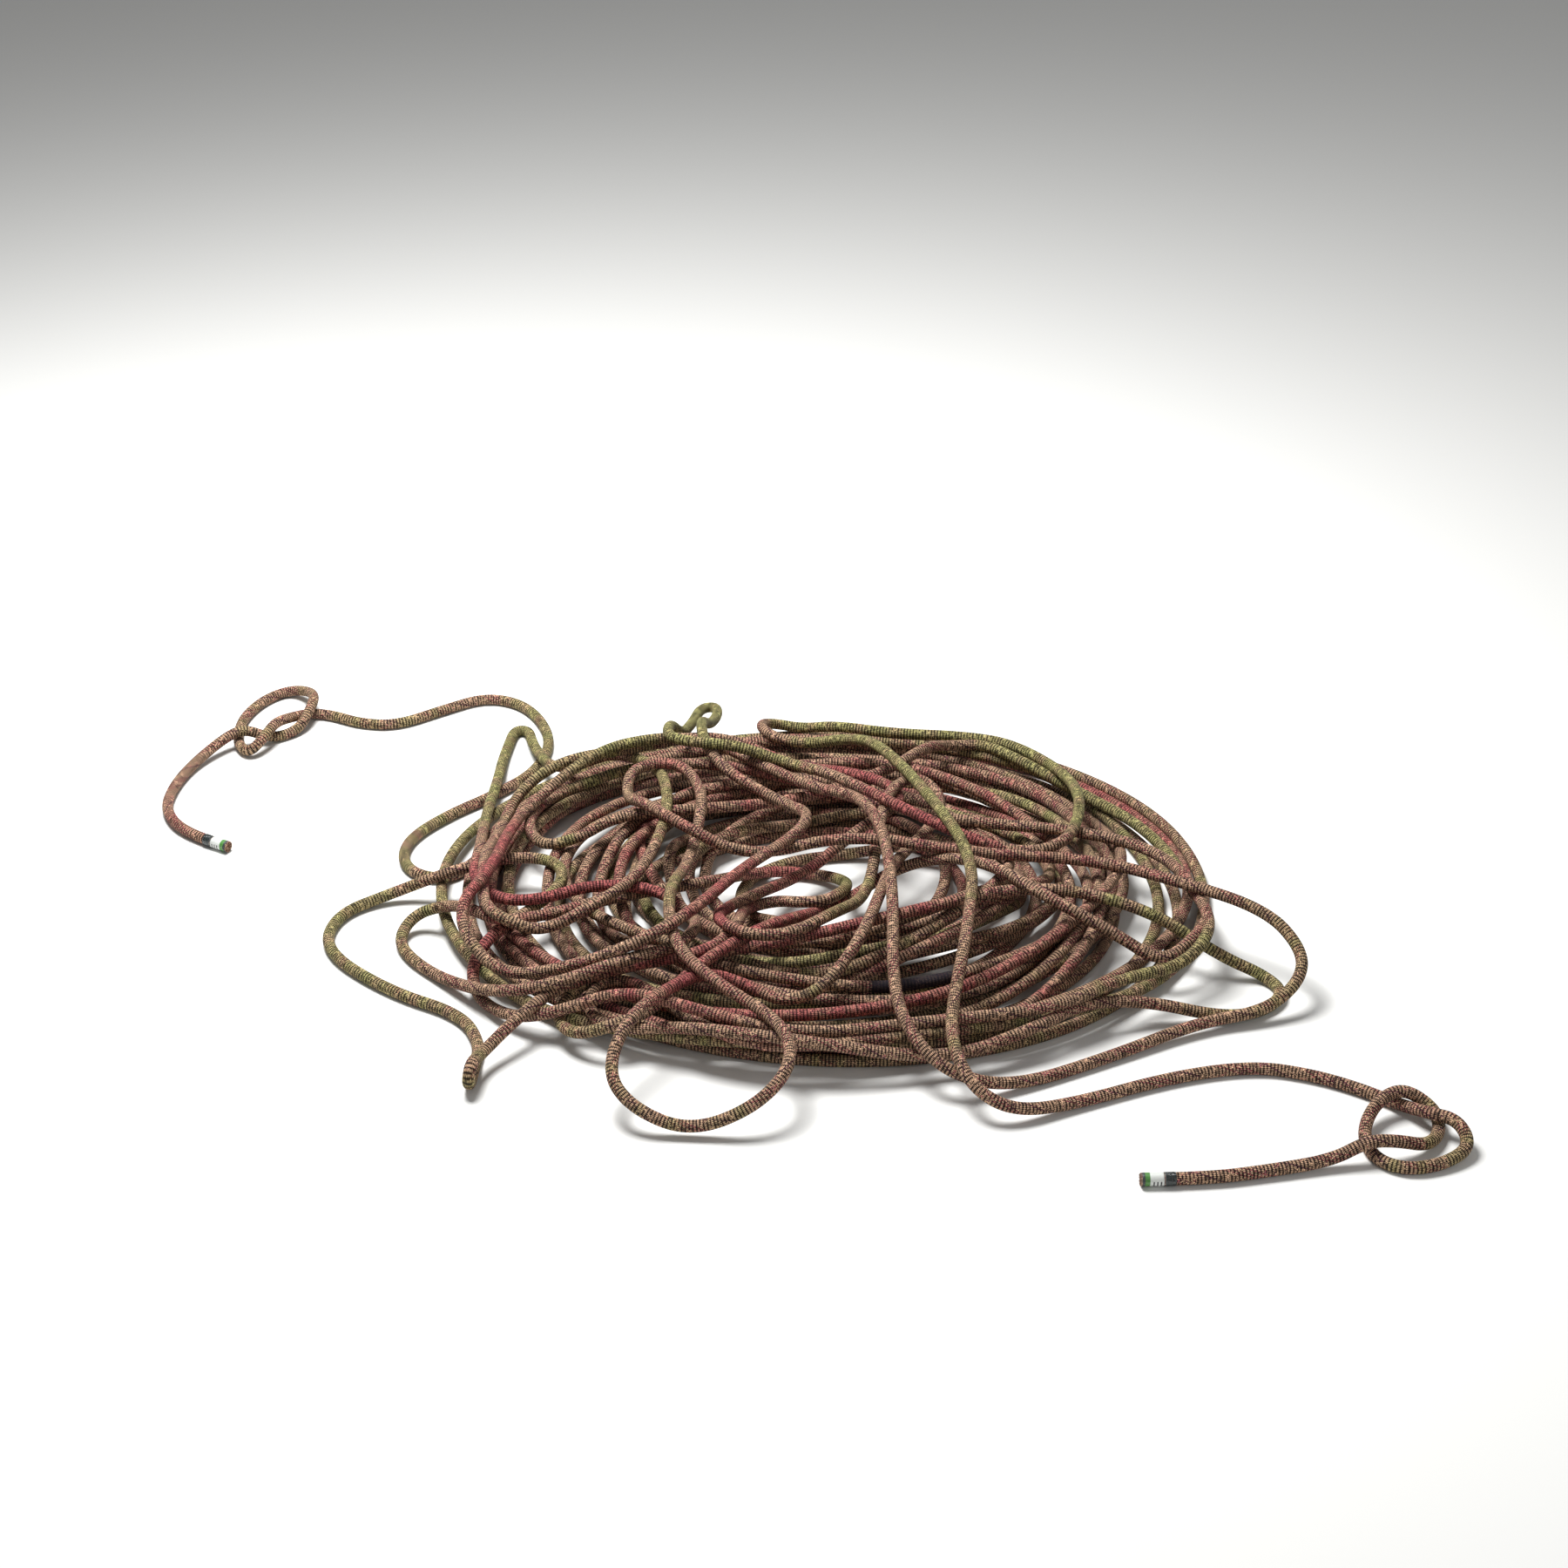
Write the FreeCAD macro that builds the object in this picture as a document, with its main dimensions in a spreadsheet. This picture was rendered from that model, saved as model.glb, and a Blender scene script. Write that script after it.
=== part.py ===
import FreeCAD, Part
import math
import os
import Sketcher

# A kernmantle climbing rope that lies in a loose heap, with an overhand knot near each end.
# Millimetres, +Z up. The ground is z = 0 and the origin is the middle of the heap's box on it.
# The rope runs from its left end through the left knot and a lead into a wide coil, then back
# and forth over the coil in long loose loops, and out through the right knot to its right end.

Vector = FreeCAD.Vector

SIZES = {
    "rope_diameter": (9.8, "outside of the braided sheath"),
    "sheath_wall": (1.4, "braided sheath, from outside to bore"),
    "core_clearance": (0.1, "all round, between the core and the bore"),
    "strand_gap": (0.05, "between two core strands at a cut end"),
    "strand_length": (20.0, "core strands shown apart behind each cut end"),
    "label_wall": (0.15, "printed label wrapped round the rope"),
    "label_length": (16.0, "label along the rope"),
    "label_setback": (1.0, "from the cut end to the label"),
    "sleeve_wall": (0.4, "clear shrink sleeve over the label"),
    "sleeve_clearance": (0.05, "between the label and the sleeve"),
    "sleeve_length": (26.0, "sleeve along the rope"),
    "coil_half_length": (318.0, "outermost loop, middle to centre line, along X"),
    "coil_half_width": (262.0, "outermost loop, middle to centre line, along Y"),
    "coil_inner_half_length": (127.0, "innermost loop, middle to centre line, along X"),
    "coil_turns": (23.675, "loops of the coil, in two layers"),
    "layer_gap": (1.0, "between the coil's two layers"),
    "crossing_gap": (1.5, "between a loop and what it is laid over"),
    "flat_depth": (0.5, "pressed flat where the coil lies on the ground"),
}

COIL_CENTRE = Vector(60, 15, 0)
COIL_START_ANGLE = 19.0
COIL_STEPS_PER_TURN = 4
LEAD_RUN = 26.0
ARC_SHARE = 0.45
CORE_STRANDS = 7

# The coil settles onto its flat in the first part of a turn, and climbs from one layer to the
# next in another.
SETTLING_TURN = 0.25
CLIMBING_TURN = 0.5

# How the loops are laid on the pile.
STEEPEST_SLOPE = 0.33
LAY_STEP = 4.0
LOOK_AHEAD = 18
UNSETTLED = 5
SWEEPS = 12
LEAST_SHARE = 0.02
MOVING_SHARE = 0.08
OWN_DIAMETERS = 6
NEAR_OWN = 0.8
NEAR_REACH = 1.3

# Places along the rope that come before all of the loops.
BEFORE_COIL = -1e6
IN_COIL = -1e5
COIL_SAMPLES_PER_TURN = 480

# Route points are (x, y), laid on whatever is below them, or (x, y, lift), where the lift is
# a height over the rope's height on the ground, in rope diameters. They were traced for a coil
# of this half length and half width, and spread with it.
TRACED_HALF_LENGTH = 318.0
TRACED_HALF_WIDTH = 262.0

LEFT_TAIL = [(-471, 85, 0), (-513, 107, 0), (-540, 147, 0), (-541, 190, 0), (-531, 233, 0)]

LEFT_KNOT = [
    (-507, 269, 0.9), (-490, 280, 1.3), (-466, 283, 0), (-443, 299, 0), (-434, 322, 1.15),
    (-433, 346, 1.3), (-446, 371, 0.5), (-466, 380, 0), (-486, 361, 0), (-499, 328, 0),
    (-500, 296, 0), (-494, 268, 0), (-481, 252, 0.2), (-469, 268, 1.1), (-462, 289, 1.5),
    (-450, 314, 0.7), (-436, 334, 0),
]

LEFT_LEAD = [
    (-415, 330, 0), (-385, 313, 0), (-350, 310, 0), (-310, 340, 0), (-272, 366, 0),
    (-236, 354, 0), (-212, 318, 0), (-200, 272, 0), (-210, 220, 0), (-243, 178, 0),
    (-282, 142, 0), (-312, 102, 0), (-316, 66, 0), (-301, 40, 0), (-275, 32, 0), (-256, 48, 0),
]

# Each of these loops is laid over the ones before it.
LOOPS = {
    "front_left_bend": [
        (30, -252), (-15, -243), (-55, -214), (-80, -181), (-104, -160), (-128, -162),
        (-136, -184), (-127, -206), (-100, -218), (-70, -223), (-35, -240), (35, -255),
        (145, -250), (220, -220), (258, -187), (310, -175), (370, -176), (405, -168),
        (426, -142), (413, -116), (376, -111), (315, -80),
    ],
    "right_return": [
        (225, -60), (120, -105), (10, -130), (-70, -140), (-120, -150), (-150, -168),
        (-161, -195), (-145, -219), (-115, -225), (-82, -209),
    ],
    "middle_crossing": [
        (-50, -170), (5, -110), (65, -25), (120, 5), (180, -30), (235, -95), (290, -113),
        (326, -131), (354, -112), (372, -78), (370, -15), (345, 85), (283, 155), (235, 195),
        (205, 224), (174, 221), (150, 195), (115, 150), (30, 105), (-65, 80),
    ],
    "left_fold": [
        (-125, 70), (-159, 50), (-190, 48), (-205, 76), (-201, 110), (-175, 150), (-100, 175),
        (-15, 150), (70, 100), (165, 75), (280, 50), (345, 10), (366, -65), (368, -115),
        (340, -142), (293, -165), (230, -210), (135, -223), (30, -245), (-45, -225),
    ],
    "left_front_return": [
        (-105, -195), (-160, -200), (-196, -188), (-227, -152), (-236, -120), (-220, -92),
        (-190, -55), (-169, -22), (-169, 10), (-190, 31), (-222, 26), (-262, 7), (-318, 6),
        (-360, -25), (-363, -80), (-300, -140), (-238, -172), (-219, -213), (-221, -243, 0),
        (-222, -268, 0), (-221, -269, 2.3), (-217, -244), (-190, -208), (-160, -172),
        (-100, -155), (-40, -150),
    ],
    "centre_hook": [
        (-17, -108), (-16, -62), (-8, -31), (14, -27), (33, -49), (56, -47), (75, -18),
        (71, 20), (45, 41), (5, 40), (-42, -5), (-120, -45), (-175, -77), (-212, -88),
        (-243, -65), (-265, -41), (-291, -38), (-303, -61), (-290, -91), (-257, -124),
        (-212, -170), (-165, -185), (-108, -168),
    ],
    "left_spike": [
        (-66, -150), (-50, -116), (-56, -71), (-84, -44), (-138, -36), (-182, -56), (-218, -53),
        (-244, -20), (-241, 34), (-246, 113), (-243, 190), (-247, 235), (-246, 268),
        (-241, 296), (-221, 297), (-214, 270), (-207, 240), (-196, 203), (-173, 182),
        (-140, 186), (-108, 168), (-85, 126), (-80, 50), (-101, -40), (-140, -83), (-178, -98),
        (-208, -99), (-227, -76), (-231, -45), (-235, 6), (-230, 75), (-218, 127), (-180, 153),
    ],
    "back_crossing": [
        (-118, 172), (-40, 205), (30, 180), (76, 137), (112, 115), (124, 86), (107, 64),
        (78, 49), (38, 18), (-14, -40), (-35, -84), (-31, -122), (-7, -141), (26, -135),
        (60, -103), (91, -35), (101, 30),
    ],
    "centre_arch": [
        (108, 70), (119, 99), (138, 112), (156, 100), (157, 75), (142, 45), (117, 5),
        (104, -60), (85, -140), (55, -184), (22, -190), (-10, -171), (-39, -172), (-64, -199),
        (-100, -245), (-115, -290), (-94, -317), (-50, -326), (0, -321), (28, -290),
        (19, -242), (-33, -205),
    ],
    "left_hook": [
        (-69, -158), (-76, -75), (-61, 15), (-51, 70), (-54, 107), (-70, 132), (-95, 137),
        (-117, 120), (-118, 90), (-102, 64), (-68, 26), (-10, 10), (75, 14), (180, -20),
        (280, -11), (345, -50), (414, -95), (440, -129), (434, -156), (404, -176),
        (350, -188), (275, -230), (196, -270), (146, -277),
    ],
    "tall_strand": [
        (116, -248), (105, -195), (109, -100), (105, 5), (86, 64), (46, 98), (-5, 143),
        (-48, 178), (-92, 181), (-150, 155), (-208, 103), (-218, 40), (-226, -38), (-245, -83),
        (-240, -116), (-205, -147), (-136, -165), (-84, -158), (-50, -117), (-17, -40),
        (29, 17), (44, 56), (19, 92), (-36, 130), (-54, 190), (-53, 238), (-51, 269),
        (-47, 297), (-67, 299), (-72, 271), (-77, 238), (-81, 200), (-78, 165),
    ],
    "back_parallel": [
        (-55, 146), (-24, 143), (24, 138), (62, 104), (120, 46), (180, 11), (225, 4),
        (256, 13), (272, 43), (281, 95), (273, 170), (232, 223), (190, 240), (120, 246),
        (68, 261), (38, 284), (10, 286), (-4, 264), (8, 240),
    ],
    "top_strand": [
        (40, 227), (76, 208), (104, 160), (146, 65), (179, -40), (166, -150), (150, -220),
        (149, -268), (164, -300), (194, -309), (240, -291), (320, -256), (385, -242),
        (428, -253, 0),
    ],
}

RIGHT_KNOT = [
    (462, -271, 0), (488, -291, 0), (505, -316, 1.1), (525, -326, 1.2), (531, -347, 0.3),
    (508, -364, 0), (478, -371, 0), (457, -358, 0), (453, -330, 0.1), (466, -303, 0.9),
    (489, -289, 1.55), (513, -300, 0.4), (514, -323, 0), (500, -345, 0.2), (474, -350, 1.1),
    (452, -353, 1.3), (425, -362, 0.2),
]

RIGHT_TAIL = [(380, -372, 0), (330, -382, 0), (281, -383, 0)]


def add_sheet(doc):
    """The sheet of driving dimensions, one named cell each."""
    sheet = doc.addObject("Spreadsheet::Sheet", "Sizes")
    for row, (name, (value, note)) in enumerate(SIZES.items(), 1):
        sheet.set("A%d" % row, str(value))
        sheet.setAlias("A%d" % row, name)
        sheet.set("B%d" % row, note)
    doc.recompute()
    return sheet


def midpoint(a, b):
    return (a + b) * 0.5


def smooth_step(t):
    t = min(1.0, max(0.0, t))
    return t * t * (3 - 2 * t)


class Coil:
    """The heap's underlying loops: they spiral in on the ground and out again one layer up."""

    def __init__(self, size):
        self.half_length = size["coil_half_length"]
        self.half_width = size["coil_half_width"]
        self.inner_share = size["coil_inner_half_length"] / size["coil_half_length"]
        self.turns = size["coil_turns"]
        self.radius = size["rope_diameter"] / 2
        self.layer = size["rope_diameter"] + size["layer_gap"]
        self.flat = size["flat_depth"]

    def point(self, turn):
        reversal = self.turns / 2
        inward = 1 - abs(turn - reversal) / reversal
        share = 1 - (1 - self.inner_share) * inward
        angle = math.radians(COIL_START_ANGLE) + 2 * math.pi * turn
        height = self.radius - self.flat * smooth_step(turn / SETTLING_TURN)
        height += self.layer * smooth_step((turn - reversal) / CLIMBING_TURN + 0.5)
        return COIL_CENTRE + Vector(-self.half_length * share * math.cos(angle),
                                    self.half_width * share * math.sin(angle), height)

    def direction(self, turn):
        step = 0.001
        before = self.point(max(turn - step, 0))
        after = self.point(min(turn + step, self.turns))
        level = after - before
        if turn <= 0 or turn >= self.turns:
            level.z = 0
        return level.normalize()

    def start(self):
        """Where the lead meets the coil."""
        return self.point(0) - self.direction(0) * 2 * self.radius

    def end(self):
        """Where the loops leave the coil."""
        return self.point(self.turns) + self.direction(self.turns) * 2 * self.radius


def arc(start, corner, end):
    """The arc from start to end that is tangent to both lines to the corner."""
    middle = midpoint(start, end)
    cosine = (end - start).Length / 2 / (corner - start).Length
    return Part.Arc(start, middle + (corner - middle) * (cosine / (1 + cosine)), end).toShape()


def line(start, end):
    return Part.LineSegment(start, end).toShape()


def biarc(start, start_direction, end, end_direction):
    """Two tangent arcs between two points with given directions."""
    gap = end - start
    both = start_direction + end_direction
    bend = 2 * (1 - start_direction.dot(end_direction))
    along = gap.dot(both)
    if bend < 1e-9:
        reach = gap.dot(gap) / (2 * along)
    else:
        reach = (math.sqrt(along * along + bend * gap.dot(gap)) - along) / bend
    first = start + start_direction * reach
    second = end - end_direction * reach
    joint = midpoint(first, second)
    return [arc(start, first, joint), arc(joint, second, end)]


def coil_edges(coil):
    steps = math.ceil(coil.turns * COIL_STEPS_PER_TURN)
    turns = [coil.turns * k / steps for k in range(steps + 1)]
    points = [coil.point(turn) for turn in turns]
    directions = [coil.direction(turn) for turn in turns]
    edges = [line(coil.start(), points[0])]
    for k in range(steps):
        edges += biarc(points[k], directions[k], points[k + 1], directions[k + 1])
    edges.append(line(points[-1], coil.end()))
    return edges


class Pile:
    """What already lies in the heap, as points on the rope's centre line."""

    def __init__(self, diameter, gap):
        self.diameter = diameter
        self.reach = diameter + gap
        self.own_length = OWN_DIAMETERS * diameter
        self.cells = {}

    def add(self, point, length):
        cell = (int(point.x // self.reach), int(point.y // self.reach))
        self.cells.setdefault(cell, []).append((point, length))

    def height_over(self, x, y, length):
        """The lowest height for the centre line here, clear of all that lies below."""
        lowest = self.diameter / 2
        column, row = int(x // self.reach), int(y // self.reach)
        for cell in [(column + i, row + j) for i in (-1, 0, 1) for j in (-1, 0, 1)]:
            for point, its_length in self.cells.get(cell, ()):
                apart = (point.x - x) ** 2 + (point.y - y) ** 2
                if apart < self.reach ** 2 and its_length < length - self.own_length:
                    lowest = max(lowest, point.z + math.sqrt(self.reach ** 2 - apart))
        return lowest


def weights(t):
    """Shares of three route points in the curve between the midpoints of their runs."""
    return (1 - t) ** 2 / 2, 0.5 + t - t * t, t * t / 2


def curve_point(points, i, t):
    return sum((points[i - 1 + k] * share for k, share in enumerate(weights(t))), Vector())


def flat_distance(a, b):
    return math.hypot(a.x - b.x, a.y - b.y)


def runs_meet(a, b, c, d, reach):
    """Whether two runs cross, or come within reach, seen from above."""
    def side(p, q, r):
        return (q.x - p.x) * (r.y - p.y) - (q.y - p.y) * (r.x - p.x)

    def apart(p, q, r):
        along = ((p.x - q.x) * (r.x - q.x) + (p.y - q.y) * (r.y - q.y))
        share = min(1, max(0, along / max(flat_distance(q, r) ** 2, 1e-9)))
        return flat_distance(p, q + (r - q) * share)

    if side(a, b, c) * side(a, b, d) < 0 and side(c, d, a) * side(c, d, b) < 0:
        return True
    return min(apart(a, c, d), apart(b, c, d), apart(c, a, b), apart(d, a, b)) < reach


class Route:
    """A free stretch of rope: its points get their heights as it is laid on the pile."""

    def __init__(self, points, pile, length):
        self.pile = pile
        self.radius = pile.diameter / 2
        self.fixed = [len(p) > 2 for p in points]
        self.points = [self.place(p) for p in points]
        self.lengths = [length, length]
        for i in range(1, len(points) - 1):
            self.lengths.append(self.lengths[-1] + self.piece_length(i))

    def place(self, point):
        lift = point[2] if len(point) > 2 else 0
        return Vector(point[0], point[1], self.radius + lift * self.pile.diameter)

    def piece_length(self, i):
        before, here, after = self.points[i - 1:i + 2]
        return (flat_distance(before, here) + flat_distance(here, after)) / 2

    def window_end(self, done, first):
        """How far the next points may be settled before the route crosses itself."""
        end = first
        pts = self.points
        while end + 1 < len(pts) and end - first <= LOOK_AHEAD:
            for k in range(done, end - 3):
                far = self.lengths[end] - self.lengths[k] > NEAR_OWN * self.pile.own_length
                if far and runs_meet(pts[k], pts[k + 1], pts[end], pts[end + 1],
                                     NEAR_REACH * self.pile.reach):
                    return end, k
            end += 1
        return end, None

    def needs(self, done, end):
        """Heights that the curve needs at its sample points, listed by route point."""
        found = {}
        for i in range(done, min(end, len(self.points) - 1)):
            run = self.piece_length(i)
            count = max(3, int(run / LAY_STEP))
            for k in range(count):
                t = (k + 0.5) / count
                here = curve_point(self.points, i, t)
                need = self.pile.height_over(here.x, here.y, self.lengths[i] + run * t)
                for j, share in enumerate(weights(t)):
                    if share > LEAST_SHARE:
                        found.setdefault(i - 1 + j, []).append((i, j, weights(t), need))
        return found

    def beside(self, i, j):
        """The height at point i that the steepest slope allows from point j."""
        return self.points[j].z - STEEPEST_SLOPE * flat_distance(self.points[i], self.points[j])

    def settle(self, first, end, found):
        """Raise the free points clear of the pile, then let them down as far as they go."""
        pts = self.points
        free = [i for i in range(first, end + 1) if not self.fixed[i]]
        for i in free:
            pts[i].z = max([self.radius] + [entry[3] for entry in found.get(i, ())])
        for i in free:
            pts[i].z = max(pts[i].z, self.beside(i, i - 1))
        for i in reversed(free):
            if i < end:
                pts[i].z = max(pts[i].z, self.beside(i, i + 1))
        for _ in range(SWEEPS):
            for i in free:
                lowest = max(self.radius, self.beside(i, i - 1))
                if i < end:
                    lowest = max(lowest, self.beside(i, i + 1))
                for piece, j, shares, need in found.get(i, ()):
                    if shares[j] > MOVING_SHARE:
                        rest = sum(shares[k] * pts[piece - 1 + k].z for k in range(3) if k != j)
                        lowest = max(lowest, (need - rest) / shares[j])
                if lowest < pts[i].z:
                    pts[i].z -= 0.5 * (pts[i].z - lowest)

    def lay(self):
        last = len(self.points) - 1
        done, first = 1, 2
        while done < last:
            end, crossed = self.window_end(done, first)
            self.settle(first, end, self.needs(done, end))
            if end == last:
                keep = last
            else:
                keep = max(end - UNSETTLED, first)
                if crossed is not None:
                    keep = max(keep, min(crossed + 2, end))
            self.drop(done, keep)
            done, first = keep, keep + 1
        return self.points

    def drop(self, done, keep):
        """Add the settled pieces to the pile."""
        for i in range(done, keep):
            run = self.piece_length(i)
            count = max(3, int(run / LAY_STEP))
            for k in range(count):
                t = (k + 0.5) / count
                self.pile.add(curve_point(self.points, i, t), self.lengths[i] + run * t)


class Tube:
    """Straight runs joined by tangent arcs through a route's points."""

    def __init__(self, points):
        self.points = points
        runs = [(b - a).Length for a, b in zip(points, points[1:])]
        self.corners = {}
        self.radii = []
        for i in range(1, len(points) - 1):
            into = (points[i] - points[i - 1]).normalize()
            out = (points[i + 1] - points[i]).normalize()
            trim = ARC_SHARE * min(runs[i - 1], runs[i])
            half_turn = math.acos(max(-1, min(1, into.dot(out)))) / 2
            self.radii.append(trim / math.tan(half_turn))
            self.corners[i] = (points[i] - into * trim, points[i] + out * trim)

    def edges(self, first, last):
        """The path of the stretch that holds points first to last."""
        pts = self.points
        here = pts[0] if first == 0 else midpoint(pts[first - 1], pts[first])
        stop = pts[-1] if last == len(pts) - 1 else midpoint(pts[last], pts[last + 1])
        made = []
        for i in range(first, last + 1):
            if i in self.corners:
                into, out = self.corners[i]
                made += [line(here, into), arc(into, pts[i], out)]
                here = out
        made.append(line(here, stop))
        return made


def stretches(tube, named_counts):
    """Each named stretch's edges, from the number of points that it holds."""
    made = {}
    first = 0
    for name, count in named_counts:
        made[name] = tube.edges(first, first + count - 1)
        first += count
    return made


def spread(points, size):
    """Traced points, moved out or in with the coil that they were traced for."""
    along = size["coil_half_length"] / TRACED_HALF_LENGTH
    across = size["coil_half_width"] / TRACED_HALF_WIDTH
    return [(COIL_CENTRE.x + (x - COIL_CENTRE.x) * along,
             COIL_CENTRE.y + (y - COIL_CENTRE.y) * across, *lift) for x, y, *lift in points]


def lay_rope(size):
    """Edges of every stretch, by name, and both tubes."""
    diameter = size["rope_diameter"]
    coil = Coil(size)
    pile = Pile(diameter, size["crossing_gap"])

    def as_fixed(point):
        return point.x, point.y, (point.z - diameter / 2) / diameter

    before = coil.start() - coil.direction(0) * LEAD_RUN
    left = spread(LEFT_TAIL + LEFT_KNOT + LEFT_LEAD, size)
    left += [as_fixed(before), as_fixed(coil.start())]
    left_route = Route(left, pile, BEFORE_COIL)
    raise_ends(left_route, range(len(LEFT_TAIL)), size)
    left_tube = Tube(left_route.lay())

    samples = int(coil.turns * COIL_SAMPLES_PER_TURN)
    for k in range(samples + 1):
        pile.add(coil.point(coil.turns * k / samples), IN_COIL)

    after = coil.end() + coil.direction(coil.turns) * LEAD_RUN
    right = [as_fixed(coil.end()), as_fixed(after)]
    right += spread(sum(LOOPS.values(), []) + RIGHT_KNOT + RIGHT_TAIL, size)
    right_route = Route(right, pile, 0)
    raise_ends(right_route, range(len(right) - len(RIGHT_TAIL), len(right)), size)
    right_tube = Tube(right_route.lay())

    edges = stretches(left_tube, [("left_tail", len(LEFT_TAIL)), ("left_knot", len(LEFT_KNOT)),
                                  ("left_lead", len(LEFT_LEAD) + 2)])
    edges["heap_coil"] = coil_edges(coil)
    counts = [[name, len(points)] for name, points in LOOPS.items()]
    counts[0][1] += 2
    counts += [("right_knot", len(RIGHT_KNOT)), ("right_tail", len(RIGHT_TAIL))]
    edges.update(stretches(right_tube, counts))
    return edges, left_tube, right_tube


def sleeve_radius(size):
    return (size["rope_diameter"] / 2 + size["label_wall"] + size["sleeve_clearance"]
            + size["sleeve_wall"])


def raise_ends(route, indexes, size):
    """A tail lies on its sleeve, a little above the ground."""
    for i in indexes:
        route.points[i].z = max(route.points[i].z, sleeve_radius(size))


def facing(point, direction):
    """The placement that puts a sketch's plane at the point, square to the direction."""
    return FreeCAD.Placement(point, FreeCAD.Rotation(Vector(0, 0, 1), direction))


def round_sketch(body, name, radii):
    """A sketch of circles round the origin, each with its radius bound to the sheet."""
    sketch = body.newObject("Sketcher::SketchObject", name)
    for k, radius in enumerate(radii):
        first_guess = len(radii) - k
        sketch.addGeometry(Part.Circle(Vector(), Vector(0, 0, 1), first_guess), False)
        sketch.addConstraint(Sketcher.Constraint("Coincident", k, 3, -1, 1))
        index = sketch.addConstraint(Sketcher.Constraint("Radius", k, first_guess))
        sketch.setExpression("Constraints[%d]" % index, radius)
    return sketch


def add_pipe(doc, path, label, radii):
    """A body swept along a path: a solid cord with one radius, a hollow one with two."""
    body = doc.addObject("PartDesign::Body", label)
    body.Label = label
    sketch = round_sketch(body, label + "_section", radii)
    first = path.Shape.Edges[0]
    sketch.Placement = facing(first.valueAt(first.FirstParameter),
                              first.tangentAt(first.FirstParameter))
    pipe = body.newObject("PartDesign::AdditivePipe", label + "_pipe")
    pipe.Profile = sketch
    pipe.Spine = (path, ["Edge%d" % (k + 1) for k in range(len(path.Shape.Edges))])
    body.Tip = pipe
    return body


OUTSIDE = "Sizes.rope_diameter / 2"
BORE = "Sizes.rope_diameter / 2 - Sizes.sheath_wall"
CORE = "Sizes.rope_diameter / 2 - Sizes.sheath_wall - Sizes.core_clearance"
LABEL = "Sizes.rope_diameter / 2 + Sizes.label_wall"
SLEEVE_BORE = LABEL + " + Sizes.sleeve_clearance"
SLEEVE = SLEEVE_BORE + " + Sizes.sleeve_wall"
STRAND = "(%s) / 3 - Sizes.strand_gap / 2" % CORE


def add_stretch(doc, name, edges):
    """One stretch of rope: its path, its sheath and its core."""
    path = doc.addObject("Part::Feature", name + "_path")
    path.Shape = Part.Wire(edges)
    sheath = add_pipe(doc, path, name + "_sheath", [OUTSIDE, BORE])
    core = add_pipe(doc, path, name + "_core", [CORE])
    return sheath, core


def press_flat(doc, body, size):
    """The coil's sheath, pressed flat where it lies on the ground."""
    label = body.Label
    wide = 2 * (size["coil_half_length"] + size["rope_diameter"])
    ground = doc.addObject("Part::Box", "ground")
    ground.Length = wide
    ground.Width = wide
    ground.Height = size["rope_diameter"]
    ground.Placement.Base = COIL_CENTRE - Vector(wide / 2, wide / 2, size["rope_diameter"])
    pressed = doc.addObject("Part::Cut", label + "_pressed")
    pressed.Base = body
    pressed.Tool = ground
    body.Label = label + "_round"
    pressed.Label = label
    return pressed


def add_ring(doc, label, placement, radii, length, setback):
    """A straight band round a rope end: the printed label or the clear sleeve."""
    body = doc.addObject("PartDesign::Body", label)
    body.Label = label
    sketch = round_sketch(body, label + "_section", radii)
    sketch.Placement.Base = Vector(0, 0, setback)
    pad = body.newObject("PartDesign::Pad", label + "_pad")
    pad.Profile = sketch
    pad.setExpression("Length", length)
    body.Tip = pad
    body.Placement = placement
    return body


def add_core_strands(doc, label, placement, size):
    """One strand in the middle of the core and six around it, behind a cut end."""
    spacing = (size["rope_diameter"] / 2 - size["sheath_wall"] - size["core_clearance"]) * 2 / 3
    strands = []
    for k in range(CORE_STRANDS):
        strand = doc.addObject("Part::Cylinder", "%s_%d" % (label, k + 1))
        strand.setExpression("Radius", STRAND)
        strand.setExpression("Height", "Sizes.strand_length")
        angle = 2 * math.pi / (CORE_STRANDS - 1) * k
        spoke = Vector(math.cos(angle), math.sin(angle), 0) * (spacing if k else 0)
        strand.Placement = placement.multiply(FreeCAD.Placement(spoke, FreeCAD.Rotation()))
        strands.append(strand)
    group = doc.addObject("Part::Compound", label)
    group.Label = label
    group.Links = strands
    return group


def split_for_strands(edges, length, at_end):
    """The core's edges, shortened by the strands that take its place at the cut end."""
    edge = edges[-1] if at_end else edges[0]
    start, end = [vertex.Point for vertex in edge.Vertexes]
    inward = (start - end if at_end else end - start).normalize() * length
    if at_end:
        return edges[:-1] + [line(start, end + inward)]
    return [line(start + inward, end)] + edges[1:]


def add_end(doc, side, tip, inward, size):
    """What a cut end carries: core strands, a printed label and a clear sleeve."""
    placement = facing(tip, inward)
    return [
        add_core_strands(doc, side + "_end_core_strands", placement, size),
        add_ring(doc, side + "_end_label", placement, [LABEL, OUTSIDE],
                 "Sizes.label_length", size["label_setback"]),
        add_ring(doc, side + "_end_sleeve", placement, [SLEEVE, SLEEVE_BORE],
                 "Sizes.sleeve_length", 0),
    ]


def add_tail(doc, name, edges, size, at_end):
    """A tail: the sheath runs to the cut end, and the core stops where its strands begin."""
    sheath_path = doc.addObject("Part::Feature", name + "_path")
    sheath_path.Shape = Part.Wire(edges)
    core_path = doc.addObject("Part::Feature", name + "_core_path")
    core_path.Shape = Part.Wire(split_for_strands(edges, size["strand_length"], at_end))
    return [add_pipe(doc, sheath_path, name + "_sheath", [OUTSIDE, BORE]),
            add_pipe(doc, core_path, name + "_core", [CORE])]


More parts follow.
